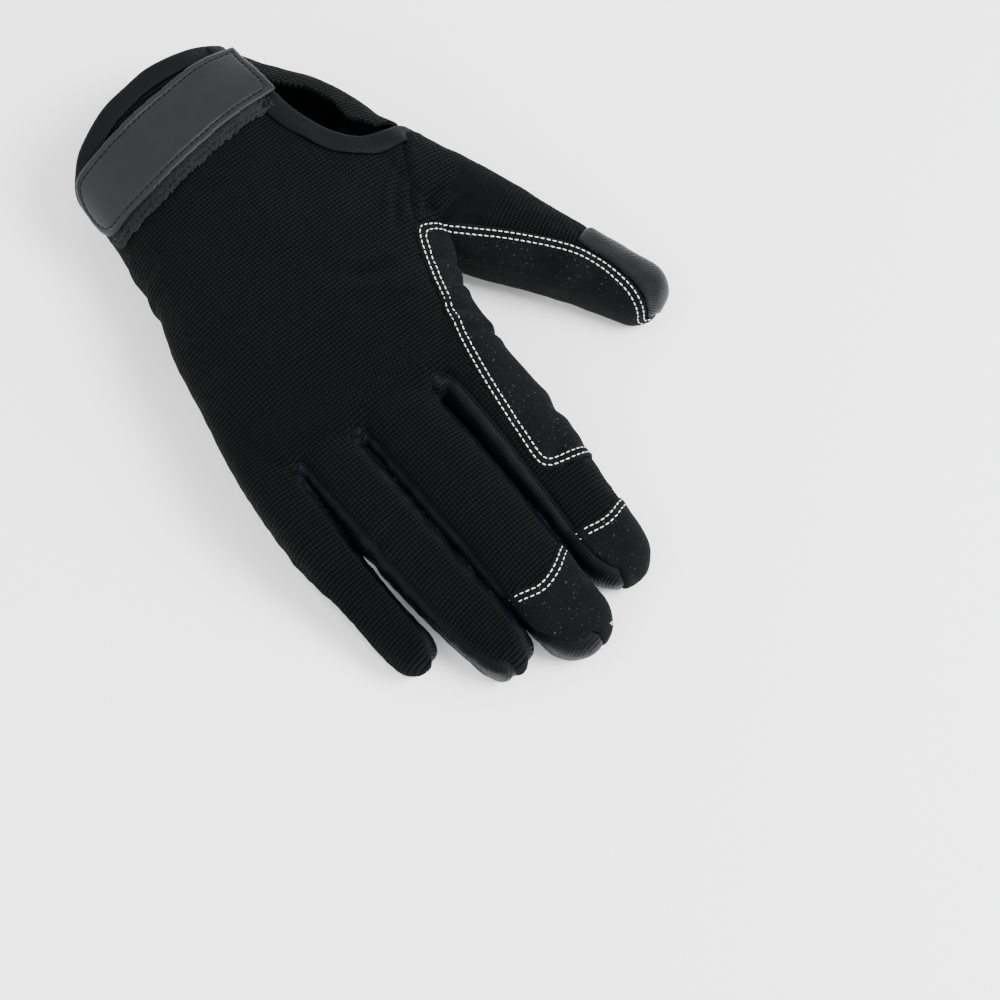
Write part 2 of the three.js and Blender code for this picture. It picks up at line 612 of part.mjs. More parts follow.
// Colours, and the group with every piece.
const LOOKS = {
  knit: { color: 0x1a1e1f, roughness: 0.95 },
  satin: { color: 0x181c1f, roughness: 0.6 },
  blackSuede: { color: 0x1b1f20, roughness: 0.98 },
  greySuede: { color: 0xbfc4c1, roughness: 0.95 },
  coated: { color: 0x353a3d, roughness: 0.45 },
  tape: { color: 0x1e2325, roughness: 0.8 },
  strap: { color: 0x34393d, roughness: 0.5 },
  loop: { color: 0x171b1c, roughness: 1.0 },
};
const LOOK_OF = {
  back_panel: "knit",
  thumb_back: "knit",
  wrist_tab: "knit",
  palm_panel: "greySuede",
  thumb_window: "greySuede",
  fourchette_index_middle: "satin",
  fourchette_middle_ring: "satin",
  fourchette_ring_little: "satin",
  web_panel: "blackSuede",
  thenar_strip: "blackSuede",
  index_cap: "blackSuede",
  middle_cap: "blackSuede",
  heel_pad: "blackSuede",
  knuckle_pad: "blackSuede",
  thumb_tip_patch: "coated",
  cuff_binding: "tape",
  palm_binding: "tape",
  notch_binding: "tape",
  strap: "strap",
  loop_patch: "loop",
};

const group = new THREE.Group();
const bounds = new THREE.Box3();
for (const [name, solid] of Object.entries(pieces)) {
  const geometry = geometryOf(largest(solid.simplify(0.05)));
  const look = LOOKS[LOOK_OF[name]];
  const material = new THREE.MeshStandardMaterial({ ...look, metalness: 0 });
  const mesh = new THREE.Mesh(geometry, material);
  mesh.name = name;
  group.add(mesh);
  geometry.computeBoundingBox();
  bounds.union(geometry.boundingBox);
}
// The origin is the middle of the footprint, on the floor.
const centre = bounds.getCenter(new THREE.Vector3());
group.position.set(-centre.x, -centre.y, -bounds.min.z);

export default group;
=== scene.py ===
# %% [markdown]
# # A work glove, from skin to stitches
#
# The glove is sewn from about fifteen shaped panels: a ribbed knit back, a suede palm, satin
# strips between the fingers, suede caps and pads. Sewn cloth pulls in along every seam and
# swells between seams, so the panels can't be modelled one by one on flat outlines. Here one
# smooth skin of the filled glove is made first, and it is then cut along the seam lines.

# %% Open the shared frame
import math

import bpy
import numpy as np
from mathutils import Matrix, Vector
from mathutils.bvhtree import BVHTree
from mathutils.kdtree import KDTree


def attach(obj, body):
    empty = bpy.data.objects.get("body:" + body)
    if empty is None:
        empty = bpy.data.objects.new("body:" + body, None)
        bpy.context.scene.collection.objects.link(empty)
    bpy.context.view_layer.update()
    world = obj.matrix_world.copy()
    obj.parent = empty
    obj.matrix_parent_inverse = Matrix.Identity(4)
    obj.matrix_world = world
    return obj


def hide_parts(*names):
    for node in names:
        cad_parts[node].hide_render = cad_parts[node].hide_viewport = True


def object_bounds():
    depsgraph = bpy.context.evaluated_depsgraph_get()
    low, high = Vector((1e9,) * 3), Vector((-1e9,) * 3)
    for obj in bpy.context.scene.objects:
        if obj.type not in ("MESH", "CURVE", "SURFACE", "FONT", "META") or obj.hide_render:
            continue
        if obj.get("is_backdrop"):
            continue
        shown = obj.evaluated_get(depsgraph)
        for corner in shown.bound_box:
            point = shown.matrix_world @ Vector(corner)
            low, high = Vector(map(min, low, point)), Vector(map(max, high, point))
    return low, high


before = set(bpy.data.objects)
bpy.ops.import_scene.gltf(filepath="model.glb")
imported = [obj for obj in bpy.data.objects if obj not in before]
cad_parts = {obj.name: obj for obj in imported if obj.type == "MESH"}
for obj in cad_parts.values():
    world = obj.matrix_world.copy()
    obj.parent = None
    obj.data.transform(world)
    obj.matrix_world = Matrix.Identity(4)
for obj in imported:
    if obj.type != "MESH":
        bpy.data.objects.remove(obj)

low_start, high_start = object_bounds()
print("nodes:", len(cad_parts), "size:", [round(x, 4) for x in high_start - low_start])

# %% [markdown]
# ## Sizes and sections
#
# The glove is drawn in millimetres, with +Y along the fingers and -X towards the thumb. A
# section is a rounded box, so each row needs a place, two half sizes and the power of its
# corners. Places and sizes are shares of three driving sizes, which keeps the rows readable.

# %% Driving sizes
HAND_LENGTH, PALM_BREADTH, HAND_HEIGHT = 250.0, 100.0, 46.0
FLOOR = 1.5  # the drawing's height of the surface that the glove rests on
SHIFT = np.array([20.94, -118.74, -1.5])  # from the drawing's origin to the frame's
SCALE = np.array([PALM_BREADTH, HAND_LENGTH, HAND_HEIGHT])
CELL = 0.85  # size of the skin's quads
CLOTH = 1.4  # thickness of a sewn panel
TAPE_WIDTH = 6.0
LINE_STEP = 0.8  # distance between the points of a seam line

# Columns: along, centre, half width, middle height, half height, power.
HAND = [
    (-0.16, -0.01, 0.36, 0.52, 0.42, 2.3),
    (-0.04, -0.012, 0.37, 0.522, 0.45, 2.4),
    (0.05, -0.045, 0.415, 0.525, 0.455, 2.4),
    (0.14, -0.09, 0.5, 0.53, 0.475, 2.4),
    (0.22, -0.115, 0.53, 0.55, 0.485, 2.5),
    (0.3, -0.08, 0.535, 0.57, 0.48, 2.5),
    (0.38, 0.005, 0.505, 0.59, 0.455, 2.6),
    (0.46, 0.055, 0.495, 0.61, 0.415, 2.7),
    (0.54, 0.08, 0.49, 0.62, 0.34, 2.7),
]
# Columns: share of the finger, middle height, width and height as shares of the finger's.
FINGER = [
    (0.0, 0.61, 0.88, 0.95),
    (0.26, 0.635, 0.98, 1.0),
    (0.45, 0.58, 1.0, 0.98),
    (0.62, 0.46, 0.98, 0.95),
    (0.78, 0.325, 0.92, 0.88),
    (0.9, 0.25, 0.85, 0.8),
]
# Columns: root, bend and tip as (across, along), then width and height.
FINGERS = {
    "index": ((-0.235, 0.44), (-0.25, 0.64), (-0.236, 0.945), 0.275, 0.265),
    "middle": ((0.04, 0.44), (0.05, 0.66), (0.012, 0.985), 0.288, 0.275),
    "ring": ((0.29, 0.44), (0.315, 0.65), (0.252, 0.945), 0.218, 0.245),
    "little": ((0.46, 0.42), (0.53, 0.62), (0.488, 0.862), 0.184, 0.205),
}
# Columns: across, along, middle height, half width, half height.
THUMB = [
    (-0.45, 0.22, 0.55, 0.19, 0.4),
    (-0.55, 0.32, 0.52, 0.195, 0.39),
    (-0.67, 0.412, 0.46, 0.176, 0.35),
    (-0.785, 0.502, 0.4, 0.14, 0.31),
    (-0.888, 0.58, 0.32, 0.113, 0.275),
    (-0.94, 0.625, 0.28, 0.102, 0.25),
]
print("rows:", len(HAND) + len(FINGER) + len(THUMB))

# %% [markdown]
# ## Lofting the limbs
#
# A curve through the rows gives as many rings as wanted, each ring is set square to the
# limb's direction, and the end is closed by a dome of shrinking rings. Overlapping limbs are
# fine at this stage: the next step melts them into one skin.


# %% Rings and lofts
def through(rows, steps=8):
    """A smooth curve through rows of numbers."""
    rows = np.asarray(rows, float)
    rows = np.vstack([2 * rows[0] - rows[1], rows, 2 * rows[-1] - rows[-2]])
    out = []
    for a, b, c, d in zip(rows, rows[1:], rows[2:], rows[3:]):
        for t in np.arange(steps) / steps:
            out.append(
                0.5
                * (
                    2 * b
                    + (c - a) * t
                    + (2 * a - 5 * b + 4 * c - d) * t**2
                    + (3 * b - a - 3 * c + d) * t**3
                )
            )
    return np.array(out + [rows[-2]])


def run_of(line):
    """How far along a line each of its points lies."""
    return np.concatenate([[0], np.cumsum(np.linalg.norm(np.diff(line, axis=0), axis=1))])


def unit(rows):
    return rows / np.linalg.norm(rows, axis=1)[:, None]


def ring(place, direction, wide, high, power, sides=56):
    """A rounded box round a place, square to the direction and level across it."""
    side = np.array([direction[1], -direction[0], 0.0])
    side /= np.linalg.norm(side)
    up = np.cross(side, direction)
    angle = 2 * math.pi * np.arange(sides) / sides
    c, s = np.cos(angle), np.sin(angle)
    u = wide * np.sign(c) * np.abs(c) ** (2 / power)
    v = high * np.sign(s) * np.abs(s) ** (2 / power)
    return place + np.outer(u, side) + np.outer(v, up / np.linalg.norm(up))


def limb(rows, tip, dome=None):
    """Rings along rows of (x, y, z, half width, half height, power), ended by a dome."""
    rows = through(rows)
    ways = unit(np.gradient(rows[:, :3], axis=0))
    rings = [ring(r[:3], w, *r[3:]) for r, w in zip(rows, ways)]
    last, way = rows[-1], ways[-1]
    for turn in np.linspace(0.15, 1.45, 9):
        step, share = math.sin(turn), math.cos(turn)
        wide, high = dome(last, share) if dome else (last[3] * share, last[4] * share)
        rings.append(ring(last[:3] + way * step * tip, way, wide, high, last[5]))
    return rings


def finger_plan(name):
    """The finger's middle line seen from above, evenly spaced, with its length."""
    root, bend, tip = (np.array(p) * SCALE[:2] for p in FINGERS[name][:3])
    control = 2 * bend - 0.5 * (root + tip)
    t = np.linspace(0, 1, 201)[:, None]
    line = (1 - t) ** 2 * root + 2 * t * (1 - t) * control + t**2 * tip
    length = run_of(line)
    marks = np.linspace(0, length[-1], 101)
    return np.column_stack([np.interp(marks, length, line[:, k]) for k in (0, 1)]), length[-1]


def at(plan, share):
    """A point and direction on a plan; a share over 1 goes straight on."""
    line, length = plan
    place = min(share, 1) * (len(line) - 1)
    k = min(int(place), len(line) - 2)
    way = (line[k + 1] - line[k]) / np.linalg.norm(line[k + 1] - line[k])
    point = line[k] + (line[k + 1] - line[k]) * (place - k)
    return point + way * max(0, share - 1) * length, way


PLANS = {name: finger_plan(name) for name in FINGERS}
ROUND_TIP = 0.46  # length of a fingertip's dome, as a share of the finger's width


def finger_rows(name):
    """Rows for a limb from the shares in FINGER; a thinner finger lies lower at its end."""
    wide, high = (PALM_BREADTH * share for share in FINGERS[name][3:])
    reach = 1 - ROUND_TIP * wide / PLANS[name][1]
    lower = 0.5 * (1 + high / (PALM_BREADTH * FINGERS["middle"][4]))
    rows = []
    for share, middle, w, h in FINGER:
        point, _ = at(PLANS[name], share / FINGER[-1][0] * reach)
        z = HAND_HEIGHT * middle * (lower if share > 0.5 else 1)
        rows.append((*point, z, w * wide / 2, h * high / 2, 2.7))
    return rows


hand_rows = [
    (c * PALM_BREADTH, a * HAND_LENGTH, m * HAND_HEIGHT, w * PALM_BREADTH, h * HAND_HEIGHT, p)
    for a, c, w, m, h, p in HAND
]
thumb_rows = [
    (x * PALM_BREADTH, y * HAND_LENGTH, z * HAND_HEIGHT, w * PALM_BREADTH, h * HAND_HEIGHT, 2.4)
    for x, y, z, w, h in THUMB
]
limbs = [
    limb(
        hand_rows,
        0.055 * HAND_LENGTH,
        lambda last, s: (last[3] - (1 - s) * 0.2 * HAND_HEIGHT, last[4] * (0.3 + 0.7 * s)),
    ),
    limb(thumb_rows, 0.1 * PALM_BREADTH),
]
for name in FINGERS:
    limbs.append(limb(finger_rows(name), ROUND_TIP * PALM_BREADTH * FINGERS[name][3]))
print("limbs:", len(limbs), "rings:", sum(len(rings) for rings in limbs))

# %% [markdown]
# ## One skin
#
# A voxel remesh turns the overlapping lofts into one closed skin of even quads, which can be
# cut anywhere. It leaves small steps, so the points are then relaxed: each moves towards its
# neighbours and partly back again, which smooths without shrinking. The bottom is pressed
# flat, because the filled glove rests on its palm and fingertips.


# %% Melt the limbs together
def mesh_object(name, points, faces=(), edges=()):
    """A new object from points in millimetres in the drawing's frame."""
    mesh = bpy.data.meshes.new(name)
    mesh.from_pydata(((np.asarray(points) + SHIFT) * 0.001).tolist(), edges, faces)
    obj = bpy.data.objects.new(name, mesh)
    bpy.context.scene.collection.objects.link(obj)
    return obj


def loft(rings):
    """Points and faces of the closed skin through a row of rings."""
    sides = len(rings[0])
    points = np.vstack(rings + [rings[0].mean(0)[None], rings[-1].mean(0)[None]])
    faces = []
    for r in range(len(rings) - 1):
        for s in range(sides):
            a, b = r * sides + s, r * sides + (s + 1) % sides
            faces.append((a, a + sides, b + sides, b))
    first, last, end = len(points) - 2, len(points) - 1, (len(rings) - 1) * sides
    for s in range(sides):
        faces.append((first, s, (s + 1) % sides))
        faces.append((last, end + (s + 1) % sides, end + s))
    return points, faces


all_points, all_faces, count = [], [], 0
for rings in limbs:
    points, faces = loft(rings)
    all_points.append(points)
    all_faces += [tuple(i + count for i in face) for face in faces]
    count += len(points)
blank = mesh_object("skin_blank", np.vstack(all_points), all_faces)
melt = blank.modifiers.new("Melt", "REMESH")
melt.mode = "VOXEL"
melt.voxel_size = CELL * 0.001
evaluated = blank.evaluated_get(bpy.context.evaluated_depsgraph_get())
melted = bpy.data.meshes.new_from_object(evaluated)
melted.calc_loop_triangles()
points = np.empty(len(melted.vertices) * 3)
melted.vertices.foreach_get("co", points)
points = points.reshape(-1, 3) * 1000 - SHIFT
tris = np.empty(len(melted.loop_triangles) * 3, int)
melted.loop_triangles.foreach_get("vertices", tris)
tris = tris.reshape(-1, 3)
bpy.data.objects.remove(blank)
bpy.data.meshes.remove(melted)


def edges_of(tris, rim=False):
    """The edges of triangles; with rim, only those that a single triangle uses."""
    sides = np.sort(np.vstack([tris[:, :2], tris[:, 1:], tris[:, ::2]]), axis=1)
    sides, counts = np.unique(sides, axis=0, return_counts=True)
    return sides[counts == 1] if rim else sides


def relax(points, tris, times, there=0.5, back=-0.52):
    """Smooths points without shrinking them."""
    edges = edges_of(tris)
    ends = np.concatenate([edges[:, 0], edges[:, 1]])
    others = np.concatenate([edges[:, 1], edges[:, 0]])
    degree = np.maximum(np.bincount(ends, minlength=len(points)), 1)[:, None]
    for _ in range(times):
        for amount in (there, back):
            total = np.column_stack(
                [np.bincount(ends, points[others, k], minlength=len(points)) for k in range(3)]
            )
            points = points + amount * (total / degree - points)
    return points


def press(points, floor=FLOOR, soft=0.5):
    """Flattens whatever would sink through the surface."""
    points = points.copy()
    points[:, 2] = floor + soft * np.logaddexp(0, (points[:, 2] - floor) / soft)
    return points


points = press(relax(points, tris, 8))
print("skin:", len(points), "points,", len(tris), "triangles")
skin_points, skin_tris = points, tris

# %% [markdown]
# ## Seam lines
#
# Seams are drawn from above: one outline cuts the back, another the palm side, and the two
# meet at the waist, the height where the glove is widest. For a cut, every point of the skin
# gets a signed distance to the outline, and the triangles are split exactly where it is zero.
# That gives clean seams without any boolean.

# %% Outlines, as shares of the breadth and the length
HAND_WAIST = [
    (-0.3, 0.33), (0.2, 0.33), (0.4, 0.37), (0.52, 0.45), (0.72, 0.43), (0.86, 0.27),
    (1.2, 0.18),
]
THUMB_WAIST = [(-0.3, 0.33), (0.4, 0.33), (0.58, 0.3), (0.7, 0.27), (1.2, 0.2)]
CUFF_TOP = [
    (-0.6, -0.008), (-0.37, -0.012), (-0.25, -0.024), (-0.07, -0.03), (0.13, -0.017),
    (0.28, 0.004), (0.37, 0.032), (0.6, 0.09),
]
CUFF_PALM = [(0.6, 0.09), (0.37, 0.032), (0.22, 0.004), (0.0, -0.008), (-0.17, -0.008)]
PALM_DIAGONAL = [(-0.22, 0.022), (-0.29, 0.07), (-0.38, 0.115), (-0.47, 0.145), (-0.8, 0.17)]
NOTCH = [
    (-0.36, -0.1), (-0.36, 0.1), (-0.365, 0.155), (-0.4, 0.21), (-0.46, 0.243), (-0.54, 0.256),
    (-0.9, 0.256),
]
TAB_TOP = [
    (-0.375, -0.1), (-0.375, 0.055), (-0.4, 0.088), (-0.485, 0.122), (-0.525, 0.16),
    (-0.52, 0.2), (-0.57, 0.234), (-0.9, 0.234), (-0.9, -0.1),
]
TAB_CUFF = [(-0.15, -0.012), (-0.28, -0.008), (-0.38, 0.0), (-0.5, 0.022), (-0.8, 0.06)]
TAB_INSIDE = [
    (-0.17, -0.02), (-0.21, 0.024), (-0.28, 0.074), (-0.37, 0.119), (-0.46, 0.149), (-0.9, 0.175),
]
THUMB_LINE = [
    (-0.42, 0.392), (-0.52, 0.402), (-0.6, 0.434), (-0.68, 0.466), (-0.765, 0.504),
    (-0.85, 0.545), (-0.895, 0.588), (-0.915, 0.63), (-0.905, 0.665), (-0.86, 0.72),
]
THUMB_ROOT = [(-0.9, 0.24), (-0.64, 0.258), (-0.58, 0.29), (-0.51, 0.34), (-0.42, 0.392)]
PATCH_TOP = [
    (-0.84, 0.53), (-1.2, 0.5), (-1.2, 0.75), (-0.86, 0.72), (-0.905, 0.665), (-0.915, 0.63),
    (-0.895, 0.588), (-0.862, 0.555),
]
PATCH_PALM = [
    (-0.88, 0.525), (-1.2, 0.5), (-1.2, 0.75), (-0.92, 0.7), (-0.965, 0.65), (-0.955, 0.6),
]
THENAR = [
    (-0.52, 0.17), (-0.56, 0.23), (-0.62, 0.285), (-0.68, 0.335), (-0.74, 0.375), (-0.8, 0.4),
    (-1.2, 0.42), (-1.2, 0.16),
]
WINDOW_PALM = [
    (-0.87, 0.515), (-0.83, 0.486), (-0.76, 0.482), (-0.72, 0.51), (-0.735, 0.545),
    (-0.79, 0.56), (-0.85, 0.552),
]
WEB_TOP = [
    (-0.42, 0.392), (-0.375, 0.425), (-0.33, 0.472), (-0.29, 0.52), (-0.25, 0.572),
    (-0.22, 0.628), (-0.2, 0.69), (-0.185, 0.762), (-0.22, 0.777), (-0.36, 0.788),
    (-0.6, 0.79), (-1.2, 0.75), (-1.2, 0.3), (-0.7, 0.3),
]
WEB_PALM = [
    (-0.78, 0.402), (-0.69, 0.402), (-0.62, 0.416), (-0.55, 0.42), (-0.47, 0.426),
    (-0.44, 0.45), (-0.42, 0.5), (-0.41, 0.545), (-0.375, 0.605), (-0.3, 0.624),
    (-0.21, 0.63), (-0.175, 0.655), (-0.17, 0.7), (-0.18, 0.744), (-0.25, 0.766),
    (-0.42, 0.772), (-0.6, 0.79), (-1.2, 0.75), (-1.2, 0.41),
]
INDEX_CAP_TOP = [
    (0.0, 0.848), (-0.16, 0.85), (-0.27, 0.862), (-0.38, 0.845), (-0.5, 0.84), (-0.5, 1.1),
    (-0.1, 1.1), (-0.1, 0.9),
]
INDEX_CAP_PALM = [
    (-0.1, 0.82), (-0.16, 0.836), (-0.32, 0.845), (-0.5, 0.848), (-0.5, 1.1), (-0.1, 1.1),
]
MIDDLE_CAP_TOP = [
    (0.22, 0.852), (0.14, 0.866), (0.06, 0.88), (-0.01, 0.872), (-0.07, 0.856), (-0.16, 0.835),
    (-0.16, 1.1), (0.22, 1.1),
]
MIDDLE_CAP_PALM = [
    (0.22, 0.838), (0.12, 0.85), (-0.02, 0.852), (-0.1, 0.85), (-0.1, 1.1), (0.22, 1.1),
]
HEEL_PAD = [
    (0.41, 0.235), (0.33, 0.2), (0.24, 0.156), (0.17, 0.136), (0.08, 0.14), (0.01, 0.152),
    (-0.12, 0.156), (-0.2, 0.168), (-0.24, 0.192), (-0.26, 0.24), (-0.265, 0.37),
    (-0.25, 0.41), (-0.21, 0.432), (-0.15, 0.444), (-0.07, 0.44), (0.04, 0.424),
    (0.16, 0.398), (0.27, 0.37), (0.36, 0.325),
]
HEEL_WINDOW = [
    (0.19, 0.256), (0.12, 0.234), (0.06, 0.226), (0.0, 0.232), (-0.03, 0.262),
    (-0.03, 0.292), (0.0, 0.31), (0.06, 0.316), (0.13, 0.306),
]
KNUCKLE_PAD = [
    (-0.01, 0.452), (-0.1, 0.456), (-0.165, 0.468), (-0.195, 0.49), (-0.185, 0.525),
    (-0.12, 0.55), (-0.06, 0.566), (-0.03, 0.596), (0.02, 0.61), (0.08, 0.606),
    (0.12, 0.58), (0.16, 0.56), (0.26, 0.552), (0.31, 0.528), (0.3, 0.49), (0.24, 0.466),
    (0.12, 0.452),
]
STRAP_LINE = [
    (-0.375, 0.057), (-0.2, 0.06), (-0.03, 0.066), (0.18, 0.077), (0.34, 0.078), (0.6, 0.072),
]
# The strips between the fingers. Columns: neighbours, crotch, seams beside both fingers on the
# back and then on the palm side as shares of the half width, and how far each seam runs round
# the tip, where it does.
STRIPS = {
    "fourchette_index_middle": (
        ("index", "middle"), (-0.115, 0.58), ((0.62, -0.88), (0.86, -0.86)), (0.3, None),
    ),
    "fourchette_middle_ring": (
        ("middle", "ring"), (0.203, 0.575), ((0.88, -0.74), (0.86, -0.84)), (-0.2, -0.35),
    ),
    "fourchette_ring_little": (
        ("ring", "little"), (0.43, 0.562), ((0.86, -0.8), (0.82, -0.8)), (0.3, -0.3),
    ),
}
print("strips:", list(STRIPS))


# %% Signed distances
def flat(outline):
    """An outline in shares, as millimetres."""
    return np.array(outline, float) * SCALE[:2]


def rounded(outline, times=2):
    """Cuts the corners of a closed outline, so that seams run in curves."""
    for _ in range(times):
        after = np.roll(outline, -1, axis=0)
        outline = np.column_stack([0.8 * outline + 0.2 * after, 0.2 * outline + 0.8 * after])
        outline = outline.reshape(-1, 2)
    return outline


def depth(points, outline):
    """Distance to a closed flat outline, positive inside it."""
    x, y = points[:, 0], points[:, 1]
    best = np.full(len(points), 1e9)
    inside = np.zeros(len(points), bool)
    for (ax, ay), (bx, by) in zip(outline, np.roll(outline, -1, axis=0)):
        ux, uy = bx - ax, by - ay
        t = np.clip(((x - ax) * ux + (y - ay) * uy) / (ux * ux + uy * uy + 1e-12), 0, 1)
        best = np.minimum(best, (x - ax - t * ux) ** 2 + (y - ay - t * uy) ** 2)
        crossing = (ay > y) != (by > y)
        inside ^= crossing & (x < ax + (y - ay) * ux / (uy if uy else 1e-12))
    return np.where(inside, 1, -1) * np.sqrt(best)


# Near the tips of the thinner fingers the seam sinks by TIP_SINK.
TIP_SINK, TIP_FROM, TIP_FADE = 5.5, 0.76 * HAND_LENGTH, 14.0


def over_waist(points):
    """Height over the seam between the back and the palm side."""
    x, y, z = points.T
    hand, thumb = (
        HAND_HEIGHT * np.interp(y, *(np.array(line) * (HAND_LENGTH, 1)).T)
        for line in (HAND_WAIST, THUMB_WAIST)
    )
    blend = np.clip((-x - 0.44 * PALM_BREADTH) / 6, 0, 1)
    tips = np.clip((y - TIP_FROM) / TIP_FADE, 0, 1)
    tips *= np.clip((x - 0.1 * PALM_BREADTH) / 8, 0, 1)
    return z - hand - blend * (thumb - hand) + TIP_SINK * tips


LAP = 1.0  # how far a panel's two outlines overlap at the waist


def field(top=None, palm=None):
    """The space of one panel: its outline on the back, on the palm side, or on both."""

    def value(points):
        up = over_waist(points)
        lap = LAP if top is not None and palm is not None else 0.0
        parts = []
        if top is not None:
            parts.append(np.minimum(depth(points, top), up + lap))
        if palm is not None:
            parts.append(np.minimum(depth(points, palm), lap - up))
        return np.max(parts, axis=0)

    return value


def beside(name, share, aside):
    """A point beside a finger's middle line, in shares of its length and half width."""
    point, way = at(PLANS[name], share)
    half = 0.5 * PALM_BREADTH * FINGERS[name][3]
    return point + np.array([way[1], -way[0]]) * aside * half


def seam_beside(name, aside, end):
    """One seam of a side strip, from the crotch round the fingertip and out beyond it."""
    way = [(0.33, 1), (0.6, 1), (0.86, 1), (0.91, 0.86), (0.945, 0.66), (0.965, 0.4)]
    line = [beside(name, share, aside * part) for share, part in way]
    return line + [beside(name, 0.972, end), beside(name, 1.2, end)]


def strip_outline(left, right, crotch, seams, left_end, right_end):
    """The outline of a strip between two fingers, on one side of the glove."""
    x, y = np.array(crotch) * SCALE[:2]
    start = [np.array([x + 2.5, y]), np.array([x - 2.5, y])]
    line = start + seam_beside(left, seams[0], left_end)
    if right_end is None:
        line += [beside(left, 1.2, 0.97), beside(left, 0.88, 0.97)]
        line += [beside(right, share, seams[1]) for share in (0.74, 0.6, 0.33)]
    else:
        line += seam_beside(right, seams[1], right_end)[::-1]
    return rounded(np.array(line))


# %% [markdown]
# ## Cutting the skin
#
# The order of the cuts is the order in which the real pieces lie over each other. A point
# that is very near a seam is moved onto it, since thin slivers would catch the light.


# %% Split triangles where a field is zero
SNAP = 0.22  # a point this near to a seam, as a share of the edge, moves onto it


def cut(mesh, value, name, of="rest"):
    """Labels the part of the mesh where value is positive, splitting triangles on the line."""
    points, tris, label = mesh["points"], mesh["tris"], mesh["label"]
    source = label == of
    f = value(points)
    locked = np.zeros(len(points), bool)
    locked[tris[~source]] = True
    part = tris[source]
    edges = edges_of(part)
    a, b = edges.T
    crossing = f[a] * f[b] < 0
    a, b = a[crossing], b[crossing]
    t = f[a] / (f[a] - f[b])
    for near, far, share in ((a, b, t), (b, a, 1 - t)):
        snap = share < SNAP
        free = snap & ~locked[near]
        points[near[free]] += share[free, None] * (points[far[free]] - points[near[free]])
        f[near[snap]] = 0
    values = f[part]
    inside = (values >= 0).all(1) & (values > 0).any(1)
    mixed = (values > 0).any(1) & (values < 0).any(1)
    new_points, made = [], {}

    def middle(i, j):
        key = (min(i, j), max(i, j))
        if key not in made:
            made[key] = len(points) + len(new_points)
            share = f[i] / (f[i] - f[j])
            new_points.append(points[i] + share * (points[j] - points[i]))
        return made[key]

    fresh, fresh_in = [], []
    for tri in part[mixed]:
        loop, signs = [], []
        for k in range(3):
            i, j = tri[k], tri[(k + 1) % 3]
            loop.append(i)
            signs.append(f[i])
            if f[i] * f[j] < 0:
                loop.append(middle(i, j))
                signs.append(0.0)
        for wanted in (True, False):
            side = [v for v, s in zip(loop, signs) if (s >= 0 if wanted else s <= 0)]
            for k in range(1, len(side) - 1):
                fresh.append((side[0], side[k], side[k + 1]))
                fresh_in.append(wanted)
    labels = np.where(inside, name, of).astype(object)[~mixed]
    fresh = np.array(fresh, int).reshape(-1, 3)
    fresh_label = np.where(np.array(fresh_in, bool), name, of).astype(object)
    if new_points:
        points = np.vstack([points, new_points])
    mesh["points"] = points
    mesh["tris"] = np.vstack([tris[~source], part[~mixed], fresh])
    mesh["label"] = np.concatenate([label[~source], labels, fresh_label])


def fresh_skin():
    """The whole skin, not cut yet."""
    label = np.full(len(skin_tris), "rest", object)
    return {"points": skin_points.copy(), "tris": skin_tris.copy(), "label": label}


def tab_value(points):
    """The space of the tab in the notch: between the palm's edge and the cuff's."""
    palm = [*TAB_INSIDE[::-1], (-0.15, -0.012), (-0.15, -0.3), (-0.9, -0.3)]
    beyond = flat([*TAB_CUFF, (-0.8, -0.5), (0.2, -0.5)])
    return np.minimum(field(flat(TAB_TOP), flat(palm))(points), -depth(points, beyond))


shell = fresh_skin()
palm_open = [*CUFF_PALM, *PALM_DIAGONAL, (-0.9, 0.17), (-0.9, -0.5), (0.6, -0.5)]
thumb_top = [*THUMB_LINE[::-1], *THUMB_ROOT[-2::-1], (-1.2, 0.24), (-1.2, 0.72)]
cuff_open = [*CUFF_TOP, (0.6, -0.4), (-0.9, -0.4), (-0.9, -0.02)]
CUTS = [
    ("open_cuff", field(top=flat(cuff_open))),
    ("wrist_tab", tab_value),
    ("open_notch", field(top=rounded(flat([*NOTCH, (-0.9, -0.1)])))),
    ("open_palm", field(palm=flat(palm_open))),
    ("thumb_tip_patch", field(rounded(flat(PATCH_TOP), 1), rounded(flat(PATCH_PALM)))),
    ("thumb_back", field(top=rounded(flat(thumb_top), 1))),
    ("thenar_strip", field(palm=rounded(flat(THENAR)))),
    ("thumb_window", field(palm=rounded(flat(WINDOW_PALM), 3))),
    ("web_panel", field(rounded(flat(WEB_TOP), 3), rounded(flat(WEB_PALM), 3))),
]
for name, (fingers, crotch, both_sides, ends) in STRIPS.items():
    outlines = [strip_outline(*fingers, crotch, seams, *ends) for seams in both_sides]
    CUTS.append((name, field(*outlines)))
CUTS += [
    ("index_cap", field(rounded(flat(INDEX_CAP_TOP)), rounded(flat(INDEX_CAP_PALM)))),
    ("middle_cap", field(rounded(flat(MIDDLE_CAP_TOP)), rounded(flat(MIDDLE_CAP_PALM)))),
    ("back_panel", over_waist),
]


